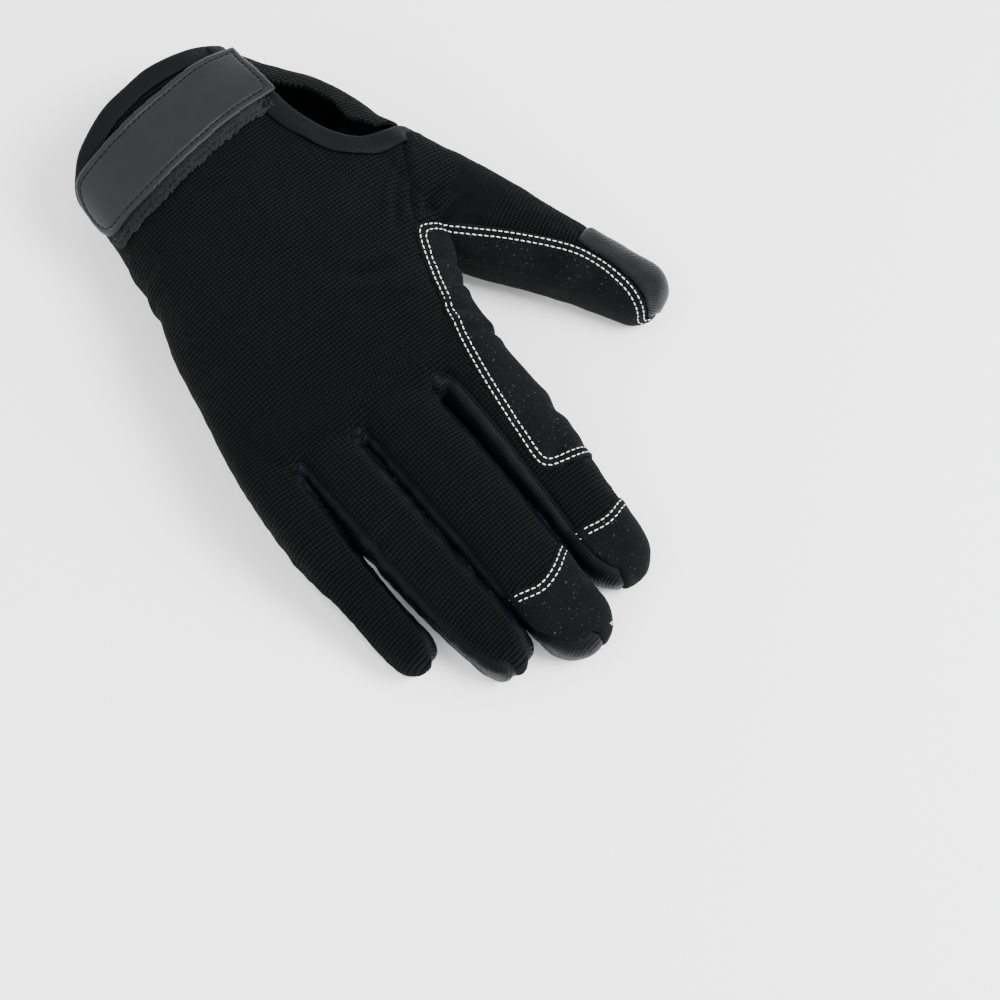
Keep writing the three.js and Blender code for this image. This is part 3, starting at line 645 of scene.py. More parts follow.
def keep_largest(mesh, name, absorbed=False):
    """Gives the loose bits of a panel back to the skin that is still to be cut.

    With absorbed, each loose bit goes to the panel that it touches most."""
    mine = np.flatnonzero(mesh["label"] == name)
    tris = mesh["tris"][mine]
    group = np.arange(len(mesh["points"]))
    while True:
        low = group[tris].min(1)
        before = group.copy()
        np.minimum.at(group, tris.ravel(), np.repeat(low, 3))
        group = group[group]
        if (group == before).all():
            break
    names, sizes = np.unique(group[tris[:, 0]], return_counts=True)
    bits = group[tris[:, 0]]
    if not absorbed:
        mesh["label"][mine[bits != names[np.argmax(sizes)]]] = "rest"
        return
    for bit in names[names != names[np.argmax(sizes)]]:
        own = mine[bits == bit]
        near = np.isin(mesh["tris"], mesh["tris"][own]).any(1)
        near[own] = False
        around = [label for label in mesh["label"][near] if not label.startswith("open")]
        if around:
            mesh["label"][own] = max(set(around), key=around.count)


for name, value in CUTS:
    cut(shell, value, name)
    if not name.startswith("open"):
        keep_largest(shell, name)
shell["label"][shell["label"] == "rest"] = "palm_panel"
keep_largest(shell, "palm_panel", absorbed=True)
keep_largest(shell, "back_panel", absorbed=True)
for name in sorted(set(shell["label"])):
    print(f"{name}: {np.sum(shell['label'] == name)} triangles")

# %% [markdown]
# ## The lie of the yarn
#
# Knit ribs run across each finger and across the hand, so a flat picture mapping would go
# wrong at every bend. Each point therefore stores how far along its own limb it lies and how
# far round it, in millimetres, and the cloth patterns are drawn from those two numbers.


# %% Pattern coordinates
# Half the thumb's width, where its own ribs begin, and the distance that they begin with.
HALF_THUMB, THUMB_FROM, THUMB_BASE = 14.0, 42.0, 60.0
FINGER_FROM, RIB_BLEND = 14.0, 16.0


def lie(points):
    """Distance round and along the limb that each point belongs to, in millimetres."""
    x, y, z = points.T
    round_, along = x.copy(), y.copy()
    up = z - 0.55 * HAND_HEIGHT
    round_ += np.sign(x) * np.where(np.abs(x) > 30, np.abs(up - 12) * 0.6, 0)
    best = np.full(len(points), 1.35)
    lines = {name: PLANS[name][0] for name in FINGERS}
    thumb = through([row[:2] for row in thumb_rows], 12)
    lines["thumb"] = np.vstack([thumb, thumb[-1] + (thumb[-1] - thumb[-2]) * 20])
    for name, line in lines.items():
        length = run_of(line)
        steps = np.diff(length)
        half = HALF_THUMB if name == "thumb" else 0.5 * PALM_BREADTH * FINGERS[name][3]
        gap = (x[:, None] - line[None, ::2, 0]) ** 2 + (y[:, None] - line[None, ::2, 1]) ** 2
        k = np.minimum(np.argmin(gap, axis=1) * 2, len(line) - 2)
        way = (line[k + 1] - line[k]) / steps[k][:, None]
        off = points[:, :2] - line[k]
        s = length[k] + (off * way).sum(1)
        side = off[:, 0] * way[:, 1] - off[:, 1] * way[:, 0]
        start = THUMB_FROM if name == "thumb" else FINGER_FROM
        blend = np.clip((s - start) / RIB_BLEND, 0, 1)
        turn = np.arctan2(side, np.abs(z - np.interp(s, [0, 60, 105], [26, 26, 12])) + half)
        mine = (np.abs(side) / half < best) & (blend > 0)
        best = np.where(mine, np.abs(side) / half, best)
        base = THUMB_BASE if name == "thumb" else line[0][1]
        along = np.where(mine, (1 - blend) * y + blend * (base + s * 1.04), along)
        round_ = np.where(mine, (1 - blend) * round_ + blend * turn * half * 2, round_)
    return np.column_stack([round_, along, np.zeros(len(points))])


LIE = lie(shell["points"])
print("pattern reach:", np.ptp(LIE, axis=0).round(1))

# %% [markdown]
# ## Wrinkles, valleys and overlays
#
# A seam pulls the cloth down into a narrow valley and gathers it a little on both sides. An
# overlay of suede does the opposite: it lies on top and ends in a step. Both are functions of
# the distance to the seam. Folds that can be seen in the photograph are drawn one by one, as
# lines with a width and a depth, and weak random waves stop the cloth from looking inflated.

# %% How the cloth moves
RAISED = {
    "web_panel": 0.75,
    "index_cap": 0.75,
    "middle_cap": 0.75,
    "thumb_tip_patch": 0.9,
    "thenar_strip": 0.6,
}
OPENINGS = ("open_cuff", "open_notch", "open_palm")
VALLEY, BANK, UNDER = 0.85, 0.3, 0.35  # a seam's groove, the swell beside it, an overlay's step
FOLD_DEPTH = 1.4
# Columns: from x, y to x, y, half width, depth (negative for a ridge), side of the glove.
FOLDS = [
    (-34, 98, -52, 86, 1.6, 0.9, 1),
    (-38, 93, -56, 78, 1.5, 0.8, 1),
    (-46, 97, -62, 92, 1.4, 0.8, 1),
    (-50, 100, -68, 100, 1.4, 0.7, 1),
    (-30, 108, -10, 100, 2.4, 0.6, 1),
    (-28, 118, -8, 116, 2.2, 0.5, 1),
    (-24, 130, -40, 134, 2.0, 0.9, 1),
    (-26, 140, -44, 147, 1.8, 0.8, 1),
    (-36, 112, -52, 116, 1.6, 0.9, 1),
    (-38, 120, -50, 128, 1.6, 0.8, 1),
    (-18, 176, -44, 180, 2.6, 0.7, 1),
    (-20, 192, -40, 193, 2.0, 0.6, 1),
    (-6, 150, 22, 154, 2.8, 0.5, 1),
    (-8, 178, 16, 180, 2.6, 0.7, 1),
    (22, 174, 46, 178, 2.4, 0.6, 1),
    (44, 160, 64, 156, 2.2, 0.6, 1),
    (-20, 40, 10, 46, 3.5, 0.5, 1),
    (0, 30, 36, 38, 3.0, 0.5, 1),
    (-50, 60, -70, 92, 2.2, 0.8, -1),
    (-44, 66, -60, 98, 2.0, 0.7, -1),
    (-36, 74, -50, 104, 2.2, 0.7, -1),
    (-30, 118, 30, 126, 3.0, 0.6, -1),
    (10, 60, 40, 84, 3.0, 0.5, -1),
]


def waves(points, length, seed, count=18):
    """Weak random waves of about one length, between -1 and 1."""
    rng = np.random.default_rng(seed)
    ways = unit(rng.normal(size=(count, 3)))
    turns = 2 * math.pi / (length * rng.uniform(0.7, 1.5, count))
    total = np.sin(points @ (ways * turns[:, None]).T + rng.uniform(0, 6.28, count)).sum(1)
    return total / math.sqrt(count) / 1.4


def drape(points):
    """The slow waves that every layer of cloth shares."""
    return 0.35 * waves(points, 22, 3)


def folds(points, up):
    """Depth of the drawn folds at each point."""
    total = np.zeros(len(points))
    for ax, ay, bx, by, half, deep, side in FOLDS:
        along = np.array([bx - ax, by - ay], float)
        size = np.linalg.norm(along)
        along /= size
        off = points[:, :2] - (ax, ay)
        s = off @ along
        bow = 0.08 * size * np.sin(math.pi * np.clip(s / size, 0, 1))
        t = off @ np.array([-along[1], along[0]]) - bow
        fade = np.clip(s / (0.3 * size), 0, 1) * np.clip((size - s) / (0.3 * size), 0, 1)
        here = fade * fade * (3 - 2 * fade) * (up * side > -2)
        banks = np.exp(-(((np.abs(t) - 2.1 * half) / half) ** 2))
        total += FOLD_DEPTH * deep * here * (np.exp(-((t / half) ** 2)) - 0.45 * banks)
    return total


def nearest(points, seeds):
    """Distance from each point to the nearest of the seeds."""
    tree = KDTree(len(seeds))
    for i, seed in enumerate(seeds):
        tree.insert(seed, i)
    tree.balance()
    return np.array([tree.find(p)[2] for p in points])


def normals_of(points, tris):
    """The smooth normal at each point."""
    a, b, c = (points[tris[:, k]] for k in range(3))
    flat_normal = np.cross(b - a, c - a)
    total = np.column_stack(
        [
            np.bincount(tris.ravel(), np.repeat(flat_normal[:, k], 3), minlength=len(points))
            for k in range(3)
        ]
    )
    return total / np.maximum(np.linalg.norm(total, axis=1), 1e-9)[:, None]


SKIN_NORMALS = normals_of(shell["points"], shell["tris"])
touches = {name: np.zeros(len(shell["points"]), bool) for name in set(shell["label"])}
for name, mask in touches.items():
    mask[shell["tris"][shell["label"] == name]] = True


def panel(name):
    """One panel's own points, triangles and distances to its neighbours."""
    tris = shell["tris"][shell["label"] == name]
    used, local = np.unique(tris, return_inverse=True)
    base, normal = shell["points"][used], SKIN_NORMALS[used]
    distance = {}
    for other, mask in touches.items():
        if other != name and mask[used].any():
            distance[other] = nearest(base, base[mask[used]])
    sewn = [d for other, d in distance.items() if other not in OPENINGS]
    lower = [d for other, d in distance.items() if RAISED.get(other, 0) > RAISED.get(name, 0)]
    seam = np.min(sewn, axis=0) if sewn else np.full(len(base), 1e3)
    step = np.min(lower, axis=0) if lower else np.full(len(base), 1e3)
    up = over_waist(base)
    raised = RAISED.get(name, 0)
    move = drape(base) + 0.12 * waves(base, 7, 5)
    move -= folds(base, up)
    gathers = 0.3 * np.exp(-seam / 4) * waves(base, 5, 8)
    if name in STRIPS:
        move += 0.5 * np.clip(seam / 3.5, 0, 1)
    if raised:
        move += raised * np.sqrt(np.clip(seam / 1.2, 0, 1)) + 0.3 * gathers
        move -= 0.35 * np.exp(-((seam / 0.7) ** 2))
    else:
        valley = VALLEY * np.exp(-((seam / 1.2) ** 2))
        valley -= BANK * np.exp(-(((seam - 3.2) / 1.8) ** 2))
        under = UNDER * np.exp(-(step**2))
        move += gathers - np.where(step < seam + 0.5, under, valley)
    moved = press(base + normal * move[:, None], FLOOR + (0.1 if raised else 0.35))
    return {
        "points": moved,
        "tris": local.reshape(-1, 3),
        "lie": LIE[used],
        "distance": distance,
        "normals": normals_of(moved, local.reshape(-1, 3)),
        "used": used,
    }


PANELS = {name: panel(name) for name in touches if name not in OPENINGS}
print("panels:", len(PANELS))

# %% [markdown]
# ## Colours and cloths
#
# Colours are picked as a screen shows them, so one function turns them into the linear values
# that a shader needs. Each cloth starts from what it is: yarn loops, brushed suede, coated
# twill, woven tape, smooth strap. Pattern sizes are in real millimetres.


# %% Shader helpers
def linear(code):
    """A #rrggbb colour as the linear values a shader works with."""
    parts = [int(code[i : i + 2], 16) / 255 for i in (1, 3, 5)]
    return (*[c / 12.92 if c <= 0.04045 else ((c + 0.055) / 1.055) ** 2.4 for c in parts], 1)


def add(tree, kind, inputs=None, **settings):
    """Adds a node, sets its properties, and fills its inputs with values or links."""
    node = tree.nodes.new(kind)
    for key, value in settings.items():
        setattr(node, key, value)
    for key, value in (inputs or {}).items():
        if isinstance(value, bpy.types.NodeSocket):
            tree.links.new(value, node.inputs[key])
        else:
            node.inputs[key].default_value = value
    return node


def maths(tree, operation, a, b=0.0):
    return add(tree, "ShaderNodeMath", {0: a, 1: b}, operation=operation).outputs[0]


def wave(tree, coordinate, pitch_mm):
    """A sine along a coordinate that is stored in millimetres, from 0 to 1."""
    turn = maths(tree, "MULTIPLY", coordinate, 2 * math.pi / pitch_mm)
    return maths(tree, "MULTIPLY_ADD", maths(tree, "SINE", turn), 0.5)


def material(name):
    made = bpy.data.materials.new(name)
    made.use_nodes = True
    tree = made.node_tree
    tree.nodes.clear()
    shader = add(tree, "ShaderNodeBsdfPrincipled")
    output = add(tree, "ShaderNodeOutputMaterial")
    tree.links.new(shader.outputs[0], output.inputs["Surface"])
    return made, tree, shader


def link(tree, value, socket):
    if isinstance(value, bpy.types.NodeSocket):
        tree.links.new(value, socket)
    else:
        socket.default_value = value


def noise(tree, size_mm, detail=3.0, rough=0.6):
    """Noise whose blobs are about size_mm wide."""
    place = add(tree, "ShaderNodeTexCoord").outputs["Object"]
    inputs = {"Vector": place, "Scale": 1000.0 / size_mm, "Detail": detail, "Roughness": rough}
    return add(tree, "ShaderNodeTexNoise", inputs).outputs["Fac"]


def mix(tree, share, a, b):
    node = add(tree, "ShaderNodeMix", data_type="RGBA")
    link(tree, share, node.inputs["Factor"])
    link(tree, a, node.inputs["A"])
    link(tree, b, node.inputs["B"])
    return node.outputs["Result"]


def ramp(tree, value, low, high):
    """Stretches the part of a value between low and high to 0..1."""
    inputs = {"Value": value, "From Min": low, "From Max": high}
    return add(tree, "ShaderNodeMapRange", inputs).outputs["Result"]


def bump(tree, height, distance_mm):
    inputs = {"Height": height, "Distance": distance_mm * 0.001, "Strength": 1.0}
    return add(tree, "ShaderNodeBump", inputs).outputs["Normal"]


def pattern(tree):
    """The stored distances round and along the limb."""
    stored = add(tree, "ShaderNodeAttribute", attribute_name="lie").outputs["Vector"]
    split = add(tree, "ShaderNodeSeparateXYZ", {0: stored})
    return split.outputs["X"], split.outputs["Y"]


# %% [markdown]
# ### Knit, satin and tape
#
# The back is a rib knit: rows of yarn across the limb, broken into loops. The rows get their
# height from a sine of the stored distance, a finer sine breaks them up, and the grooves are
# darker because little light reaches them. Satin strips and tape use the same idea, finer.


# %% Ribbed cloths
def ribbed(name, groove, yarn, row_mm, loop_mm, height_mm, rough, sheen, breaks, shine):
    """Rows of yarn across the limb; breaks is how much the single loops show."""
    made, tree, shader = material(name)
    around, along = pattern(tree)
    wander = maths(tree, "MULTIPLY", noise(tree, 9.0), 0.5)
    row = wave(tree, maths(tree, "ADD", along, wander), row_mm)
    loops = wave(tree, around, loop_mm)
    height = maths(tree, "MULTIPLY", row, maths(tree, "MULTIPLY_ADD", loops, breaks))
    fibres = maths(tree, "MULTIPLY", noise(tree, 0.35), 0.35)
    total = maths(tree, "ADD", height, fibres)
    shade = ramp(tree, total, 0.15, 1.05)
    colour = mix(tree, shade, linear(groove), linear(yarn))
    faded = mix(tree, ramp(tree, noise(tree, 14.0), 0.3, 0.75), colour, linear(yarn))
    colour = mix(tree, 0.12, colour, faded)
    link(tree, colour, shader.inputs["Base Color"])
    link(tree, bump(tree, total, height_mm), shader.inputs["Normal"])
    shader.inputs["Roughness"].default_value = rough
    shader.inputs["Sheen Weight"].default_value = sheen
    shader.inputs["Sheen Roughness"].default_value = 0.5
    shader.inputs["Specular IOR Level"].default_value = shine
    return made


LOOK = {
    "knit": ribbed("Rib knit", "#000000", "#0b0e0f", 1.45, 1.3, 0.95, 0.95, 0.01, 0.6, 0.04),
    "satin_knit": ribbed("Satin knit", "#020304", "#0c0f13", 0.9, 0.8, 0.22, 0.45, 0.0, 0.2, 0.05),
    "tape": ribbed("Woven tape", "#030404", "#0e1113", 0.8, 0.9, 0.2, 0.6, 0.0, 0.15, 0.06),
}
print("ribbed cloths:", list(LOOK))

# %% [markdown]
# ### Suede, coated twill, strap and loops
#
# Synthetic suede is a felt of very fine fibres: rough, slightly mottled, with tiny flecks. The
# coated patch shows a fine diagonal weave under a satin coat. The strap is smooth and almost
# plain, and the landing patch is a dense pile of tiny loops.


# %% Brushed and coated cloths
def suede(name, colour, worn, fleck, height_mm, sheen):
    """A felt of fibres, clouded between two colours, with a few flecks, and painted shade where the
    fibres lie low.
    """
    made, tree, shader = material(name)
    fibre, cloud = noise(tree, 0.5, 4.0, 0.7), noise(tree, 11.0, 4.0)
    base = mix(tree, ramp(tree, cloud, 0.3, 0.7), linear(colour), linear(worn))
    flecks = ramp(tree, noise(tree, 0.9, 2.0), 0.66, 0.73)
    base = mix(tree, maths(tree, "MULTIPLY", flecks, 0.7), base, linear(fleck))
    # Painted shade: where the fibre noise is low, which is also where the bump sinks, the colour
    # goes a third of the way to black.
    shade = ramp(tree, fibre, 0.3, 0.65)
    shaded_base = mix(tree, 0.35, base, (0, 0, 0, 1))
    link(tree, mix(tree, shade, shaded_base, base), shader.inputs["Base Color"])
    link(tree, bump(tree, fibre, height_mm), shader.inputs["Normal"])
    shader.inputs["Roughness"].default_value = 0.93
    shader.inputs["Sheen Weight"].default_value = sheen
    shader.inputs["Specular IOR Level"].default_value = 0.06
    return made


def coated(name, colour, line, pitch_mm, rough):
    """A diagonal weave under a thin coat."""
    made, tree, shader = material(name)
    around, along = pattern(tree)
    weave = wave(tree, maths(tree, "ADD", around, along), pitch_mm)
    link(tree, mix(tree, weave, linear(line), linear(colour)), shader.inputs["Base Color"])
    grain = maths(tree, "ADD", weave, noise(tree, 1.2))
    link(tree, bump(tree, grain, 0.3), shader.inputs["Normal"])
    shader.inputs["Roughness"].default_value = rough
    shader.inputs["Specular IOR Level"].default_value = 0.12
    return made


def smooth(name, colour, worn, rough):
    """A plain coat, a little lighter where it is worn."""
    made, tree, shader = material(name)
    soft = ramp(tree, noise(tree, 6.0), 0.3, 0.7)
    lighter = mix(tree, 0.2, linear(colour), linear(worn))
    link(tree, mix(tree, soft, linear(colour), lighter), shader.inputs["Base Color"])
    link(tree, bump(tree, noise(tree, 0.6), 0.05), shader.inputs["Normal"])
    shader.inputs["Roughness"].default_value = rough
    shader.inputs["Specular IOR Level"].default_value = 0.18
    return made


LOOK["black_suede"] = suede("Black suede", "#050607", "#0b0d0e", "#454d50", 0.45, 0.01)
LOOK["grey_suede"] = suede("Grey suede", "#b4bab7", "#c6cbc8", "#6d7472", 0.22, 0.05)
LOOK["coated_twill"] = coated("Coated twill", "#101316", "#020303", 1.1, 0.42)
LOOK["strap"] = smooth("Strap", "#0e1113", "#1b1f21", 0.5)
LOOK["loop_tape"] = suede("Loop pile", "#08090a", "#121516", "#24292b", 0.9, 0.08)
LOOK["thread"] = suede("White thread", "#dfe0dc", "#eeeeea", "#c9c9c4", 0.1, 0.0)
LOOK["lining"] = suede("Lining", "#08090a", "#0d0f10", "#15181a", 0.2, 0.0)
LOOK["dark_thread"] = suede("Black thread", "#0b0d0e", "#15181a", "#202426", 0.1, 0.0)
print("materials:", len(LOOK))

# %% [markdown]
# ## Sewing the panels in place
#
# Each panel becomes an object with real cloth thickness, set inwards so that the outside
# stays where it was shaped. It stands for its own solid of the plain model.


# %% Panels
def piece(name, points, faces, look, nodes, lie_mm, thick=CLOTH, lining=False):
    """A finished object that stands for some solids of the plain model."""
    obj = mesh_object(name, points, [[int(i) for i in face] for face in faces])
    mesh = obj.data
    mesh.polygons.foreach_set("use_smooth", [True] * len(mesh.polygons))
    stored = mesh.attributes.new("lie", "FLOAT_VECTOR", "POINT")
    stored.data.foreach_set("vector", np.ascontiguousarray(lie_mm, float).ravel())
    mesh.materials.append(LOOK[look])
    if thick:
        wall = obj.modifiers.new("Cloth", "SOLIDIFY")
        wall.thickness = thick * 0.001
        wall.offset = -1
        if lining:
            mesh.materials.append(LOOK["lining"])
            wall.material_offset = 1
    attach(obj, "root")
    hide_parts(*nodes)


SLOTS = {
    "back_panel": "knit",
    "thumb_back": "knit",
    "wrist_tab": "knit",
    "palm_panel": "grey_suede",
    "thumb_window": "grey_suede",
    "thumb_tip_patch": "coated_twill",
    **{name: "satin_knit" for name in STRIPS},
    **{name: "black_suede" for name in ("web_panel", "thenar_strip", "index_cap", "middle_cap")},
}
for name, look in SLOTS.items():
    part = PANELS[name]
    piece(name, part["points"], part["tris"], look, [name], part["lie"], lining=True)
print("sewn:", len(SLOTS))

# %% [markdown]
# ## Lines on the skin
#
# Piping, bindings and stitch rows all follow lines on the cloth. Two kinds are needed: the
# border that a panel shares with others, and a line at a fixed distance from that border.
# Both are found as loose segments and then linked end to end.


# %% Following lines
def chains(pairs):
    """Links pairs of keys into ordered chains."""
    near = {}
    for a, b in pairs:
        near.setdefault(a, []).append(b)
        near.setdefault(b, []).append(a)
    seen, out = set(), []
    starts = [k for k, v in near.items() if len(v) == 1] + list(near)
    for start in starts:
        if start in seen:
            continue
        chain, here = [start], start
        seen.add(start)
        while True:
            following = [k for k in near[here] if k not in seen]
            if not following:
                break
            here = following[0]
            seen.add(here)
            chain.append(here)
        if len(chain) > 2 and chain[0] in near[chain[-1]]:
            chain.append(chain[0])
        out.append(chain)
    return out


def even(line, extra):
    """Resamples a line, and the values that go with it, at an even step."""
    length = run_of(line)
    count = max(2, int(round(length[-1] / LINE_STEP)) + 1)
    marks = np.linspace(0, length[-1], count)
    pick = lambda rows: np.column_stack([np.interp(marks, length, rows[:, k]) for k in range(3)])
    return pick(line), pick(extra)


def calmed(line, times):
    """Takes the jitter out of a line; its ends stay."""
    line = line.copy()
    for _ in range(times):
        line[1:-1] = 0.25 * line[:-2] + 0.5 * line[1:-1] + 0.25 * line[2:]
    return line


def border(name, others, shortest=4.0):
    """The border of a panel that it shares with others, on its own shaped surface."""
    part = PANELS[name]
    shared = np.any([touches[other] for other in others], axis=0)
    rim = edges_of(part["tris"], rim=True)
    rim = rim[shared[part["used"]][rim].all(1)]
    out = []
    for chain in chains(map(tuple, rim.tolist())):
        line = part["points"][chain]
        if run_of(line)[-1] > shortest:
            line, facing = even(line, part["normals"][chain])
            out.append((calmed(line, 6), facing))
    return out


def contour(part, values, level, shortest=6.0):
    """The lines on a part where the values pass a level."""
    points, over = part["points"], values - level
    high = (over > 0)[part["tris"]]
    marks, pairs = {}, []
    for tri in part["tris"][high.any(1) & ~high.all(1)]:
        ends = []
        for i, j in zip(tri, np.roll(tri, -1)):
            if (over[i] > 0) != (over[j] > 0):
                key = (min(i, j), max(i, j))
                share = over[i] / (over[i] - over[j])
                marks[key] = (points[i] + share * (points[j] - points[i]), part["normals"][i])
                ends.append(key)
        pairs.append(tuple(ends))
    out = []
    for chain in chains(pairs):
        line = np.array([marks[k][0] for k in chain])
        if run_of(line)[-1] > shortest:
            line, facing = even(line, np.array([marks[k][1] for k in chain]))
            out.append((calmed(line, 8), facing))
    return out


def row(name, others, inset):
    """A line on a panel at a fixed distance from its border with others."""
    part = PANELS[name]
    near = [part["distance"][other] for other in others if other in part["distance"]]
    return contour(part, np.min(near, axis=0), inset)


# %% [markdown]
# ## Piping and bindings
#
# A soft cord of folded cloth shows along the strips between the fingers, so a thin tube is
# drawn along those seams. Tape is folded over the raw edges at the wrist: its cross-section
# is a flat U, swept along the edge with one leg outside and one inside.


# %% Sweeps
def above_table(points):
    """Lifts whatever would touch the surface just clear of it."""
    return np.column_stack([points[:, :2], np.maximum(points[:, 2], FLOOR + 0.1)])


def sweep(name, lines, profile, look, nodes=()):
    """Sweeps a flat profile of (out of the edge, off the surface) along lines."""
    points, faces, lies, count = [], [], [], 0
    profile = np.array(profile, float)
    for line, facing, outward in lines:
        along = unit(np.gradient(line, axis=0))
        facing = unit(facing - (facing * along).sum(1)[:, None] * along)
        side = np.cross(along, facing)
        turn = np.sign((side * outward).sum(1).mean()) or 1
        length, size = run_of(line), len(profile)
        for k in range(len(line)):
            out, off = np.outer(profile[:, 0], side[k] * turn), np.outer(profile[:, 1], facing[k])
            points.append(line[k] + out + off)
            lies.append(np.column_stack([profile[:, 0], np.full(size, length[k]), np.zeros(size)]))
        for k in range(len(line) - 1):
            for s in range(size):
                a, b = count + k * size + s, count + k * size + (s + 1) % size
                faces.append((a, b, b + size, a + size) if turn > 0 else (a, a + size, b + size, b))
        start, end = count, count + (len(line) - 1) * size
        faces.append(tuple(range(start, start + size))[:: -1 if turn > 0 else 1])
        faces.append(tuple(range(end, end + size))[:: 1 if turn > 0 else -1])
        count += len(line) * size
    piece(name, above_table(np.vstack(points)), faces, look, nodes, np.vstack(lies), 0)


PIPING, SUNK = 0.5, 0.1  # radius of the cord, and how far its middle lies in the cloth
corners = np.linspace(0, 2 * math.pi, 9)[:-1]
circle = [(PIPING * math.cos(a), PIPING * math.sin(a) - SUNK) for a in corners]
for name in STRIPS:
    seams = border(name, ["back_panel", "palm_panel", "web_panel"])
    lines = [(line, facing, np.ones(3)) for line, facing in seams]
    sweep("piping_" + name, lines, circle, "satin_knit")

# The tape's section, folded round the cloth: (out of the edge, off the surface).
TAPE = [
    (-6.2, 0.5), (-6.0, 1.05), (-3.0, 1.2), (0.0, 1.25), (1.0, 1.0), (1.7, 0.2), (1.85, -0.8),
    (1.6, -1.9), (0.8, -2.7), (-1.0, -2.9), (-5.6, -2.8), (-6.0, -2.4), (-5.6, -1.9),
    (-1.0, -1.9), (0.0, -1.6), (0.3, -0.7), (0.0, 0.1), (-2.0, 0.35),
]


def bound(name, panel_name, opening, width=TAPE_WIDTH):
    """Tape folded over the part of a panel's edge that faces an opening."""
    inside = PANELS[panel_name]["points"].mean(0)
    edges = [(calmed(line, 20), facing) for line, facing in border(panel_name, opening, 12.0)]
    lines = [(line, facing, line - inside) for line, facing in edges]
    section = [(x * width / TAPE_WIDTH if x < 0 else x, z) for x, z in TAPE]
    sweep(name, lines, section, "tape", [name])


bound("cuff_binding", "back_panel", ["open_cuff"])
bound("palm_binding", "palm_panel", ["open_palm", "wrist_tab"], 5.0)
bound("notch_binding", "back_panel", ["open_notch"], 6.5)
print("taped edges: 3")

# %% [markdown]
# ## Layers on top
#
# The pads, the strap and its landing patch lie on the finished skin. Each is a copy of the
# skin, cut to its own outline, lifted by the layers under it and given its own thickness. The
# strap is stiffer than cloth, so its copy is relaxed until it bridges the small waves.


# %% Pads, strap and landing patch
def finer(points, tris):
    """Splits every triangle into four."""
    edges = edges_of(tris)
    middles = {tuple(e): len(points) + k for k, e in enumerate(edges.tolist())}
    split = []
    for tri in tris.tolist():
        a, b, c = tri
        ab, bc, ca = (middles[min(e), max(e)] for e in ((a, b), (b, c), (c, a)))
        split += [(a, ab, ca), (b, bc, ab), (c, ca, bc), (ab, bc, ca)]
    return np.vstack([points, points[edges].mean(1)]), np.array(split)


def overlay(value, lift, calm=0, fine=0):
    """A copy of the skin cut to an outline and lifted, with its own border distances."""
    mesh = fresh_skin()
    cut(mesh, value, "kept")
    tris = mesh["tris"][mesh["label"] == "kept"]
    used, local = np.unique(tris, return_inverse=True)
    points, tris = mesh["points"][used], local.reshape(-1, 3)
    whole = normals_of(mesh["points"], mesh["tris"])[used]
    points = points + whole * drape(points)[:, None]
    for _ in range(fine):
        points, tris = finer(points, tris)
    points = relax(points, tris, calm)
    rim = np.unique(edges_of(tris, rim=True))
    normals = normals_of(points, tris)
    points = points + normals * lift
    edge = nearest(points, points[rim])
    return {"points": points, "tris": tris, "normals": normals, "edge": edge, "lie": lie(points)}


def pad_value(outline, window=None):
    """The space of a pad on the palm side, with or without a window in it."""
    shape = rounded(flat(outline), 3)
    hole = None if window is None else rounded(flat(window), 3)

    def value(points):
        inside = np.minimum(depth(points, shape), LAP - over_waist(points))
        return inside if hole is None else np.minimum(inside, -depth(points, hole))

    return value


PAD, PAD_LIFT = 1.2, 0.5
pads = {}
for name, value in (
    ("heel_pad", pad_value(HEEL_PAD, HEEL_WINDOW)),
    ("knuckle_pad", pad_value(KNUCKLE_PAD)),
):
    part = overlay(value, PAD_LIFT)
    rise = PAD * np.sqrt(np.clip(part["edge"] / 1.5, 0, 1))
    part["points"] = above_table(part["points"] + part["normals"] * rise[:, None])
    pads[name] = part
    piece(name, part["points"], part["tris"], "black_suede", [name], part["lie"], PAD)

HALF_STRAP = 13.5
END_ROUND = 0.6  # the free end is a half ellipse, this share as long as it is wide
strap_line = through(flat(STRAP_LINE), 12)


def strap_value(half, low, high, bottom, from_x):
    """The strap's own outline: a straight sewn end, even sides, a rounded free end."""

    def value(points):
        x, y, z = points.T
        middle = np.interp(x, strap_line[:, 0], strap_line[:, 1])
        band = np.minimum(y - middle - low, middle + high - y)
        centre = middle + (low + high) / 2
        start = bottom + END_ROUND * half
        drop = np.where(z < start, (start - z) / END_ROUND, 0)
        end = half - np.hypot(y - centre, drop)
        side = np.where(z < start + 2, end, band)
        return np.minimum.reduce([band, side, x - from_x, np.where(z < 15, z - bottom, 1e3)])

    return value


strap_bottom = 0.62 * HAND_HEIGHT
LOOP_LIFT, STRAP_LIFT = 1.2, 3.6  # from the skin to the outside of each layer
LOOP_TAPE, STRAP = 1.0, 2.0  # thicknesses
loop_value = strap_value(13, -HALF_STRAP + 6, HALF_STRAP + 4, strap_bottom - 1, -34)
loop = overlay(loop_value, LOOP_LIFT, 4)
loop["points"] += loop["normals"] * (0.35 * waves(loop["points"], 1.6, 21))[:, None]
piece(
    "loop_patch", loop["points"], loop["tris"], "loop_tape", ["loop_patch"], loop["lie"], LOOP_TAPE
)
band = strap_value(HALF_STRAP, -HALF_STRAP, HALF_STRAP, strap_bottom, -37.5)
strap = overlay(band, STRAP_LIFT, 20, 1)
STRAP_ROW = 2.6  # distance of the strap's stitches from its edge
groove = 0.45 * np.exp(-(((strap["edge"] - STRAP_ROW) / 0.55) ** 2))
roll = 0.7 * (1 - np.sqrt(np.clip(strap["edge"] / 1.1, 0, 1)))
strap["points"] = strap["points"] - strap["normals"] * (groove + roll)[:, None]
piece("strap", strap["points"], strap["tris"], "strap", ["strap"], strap["lie"], STRAP)
print("layers: 4")

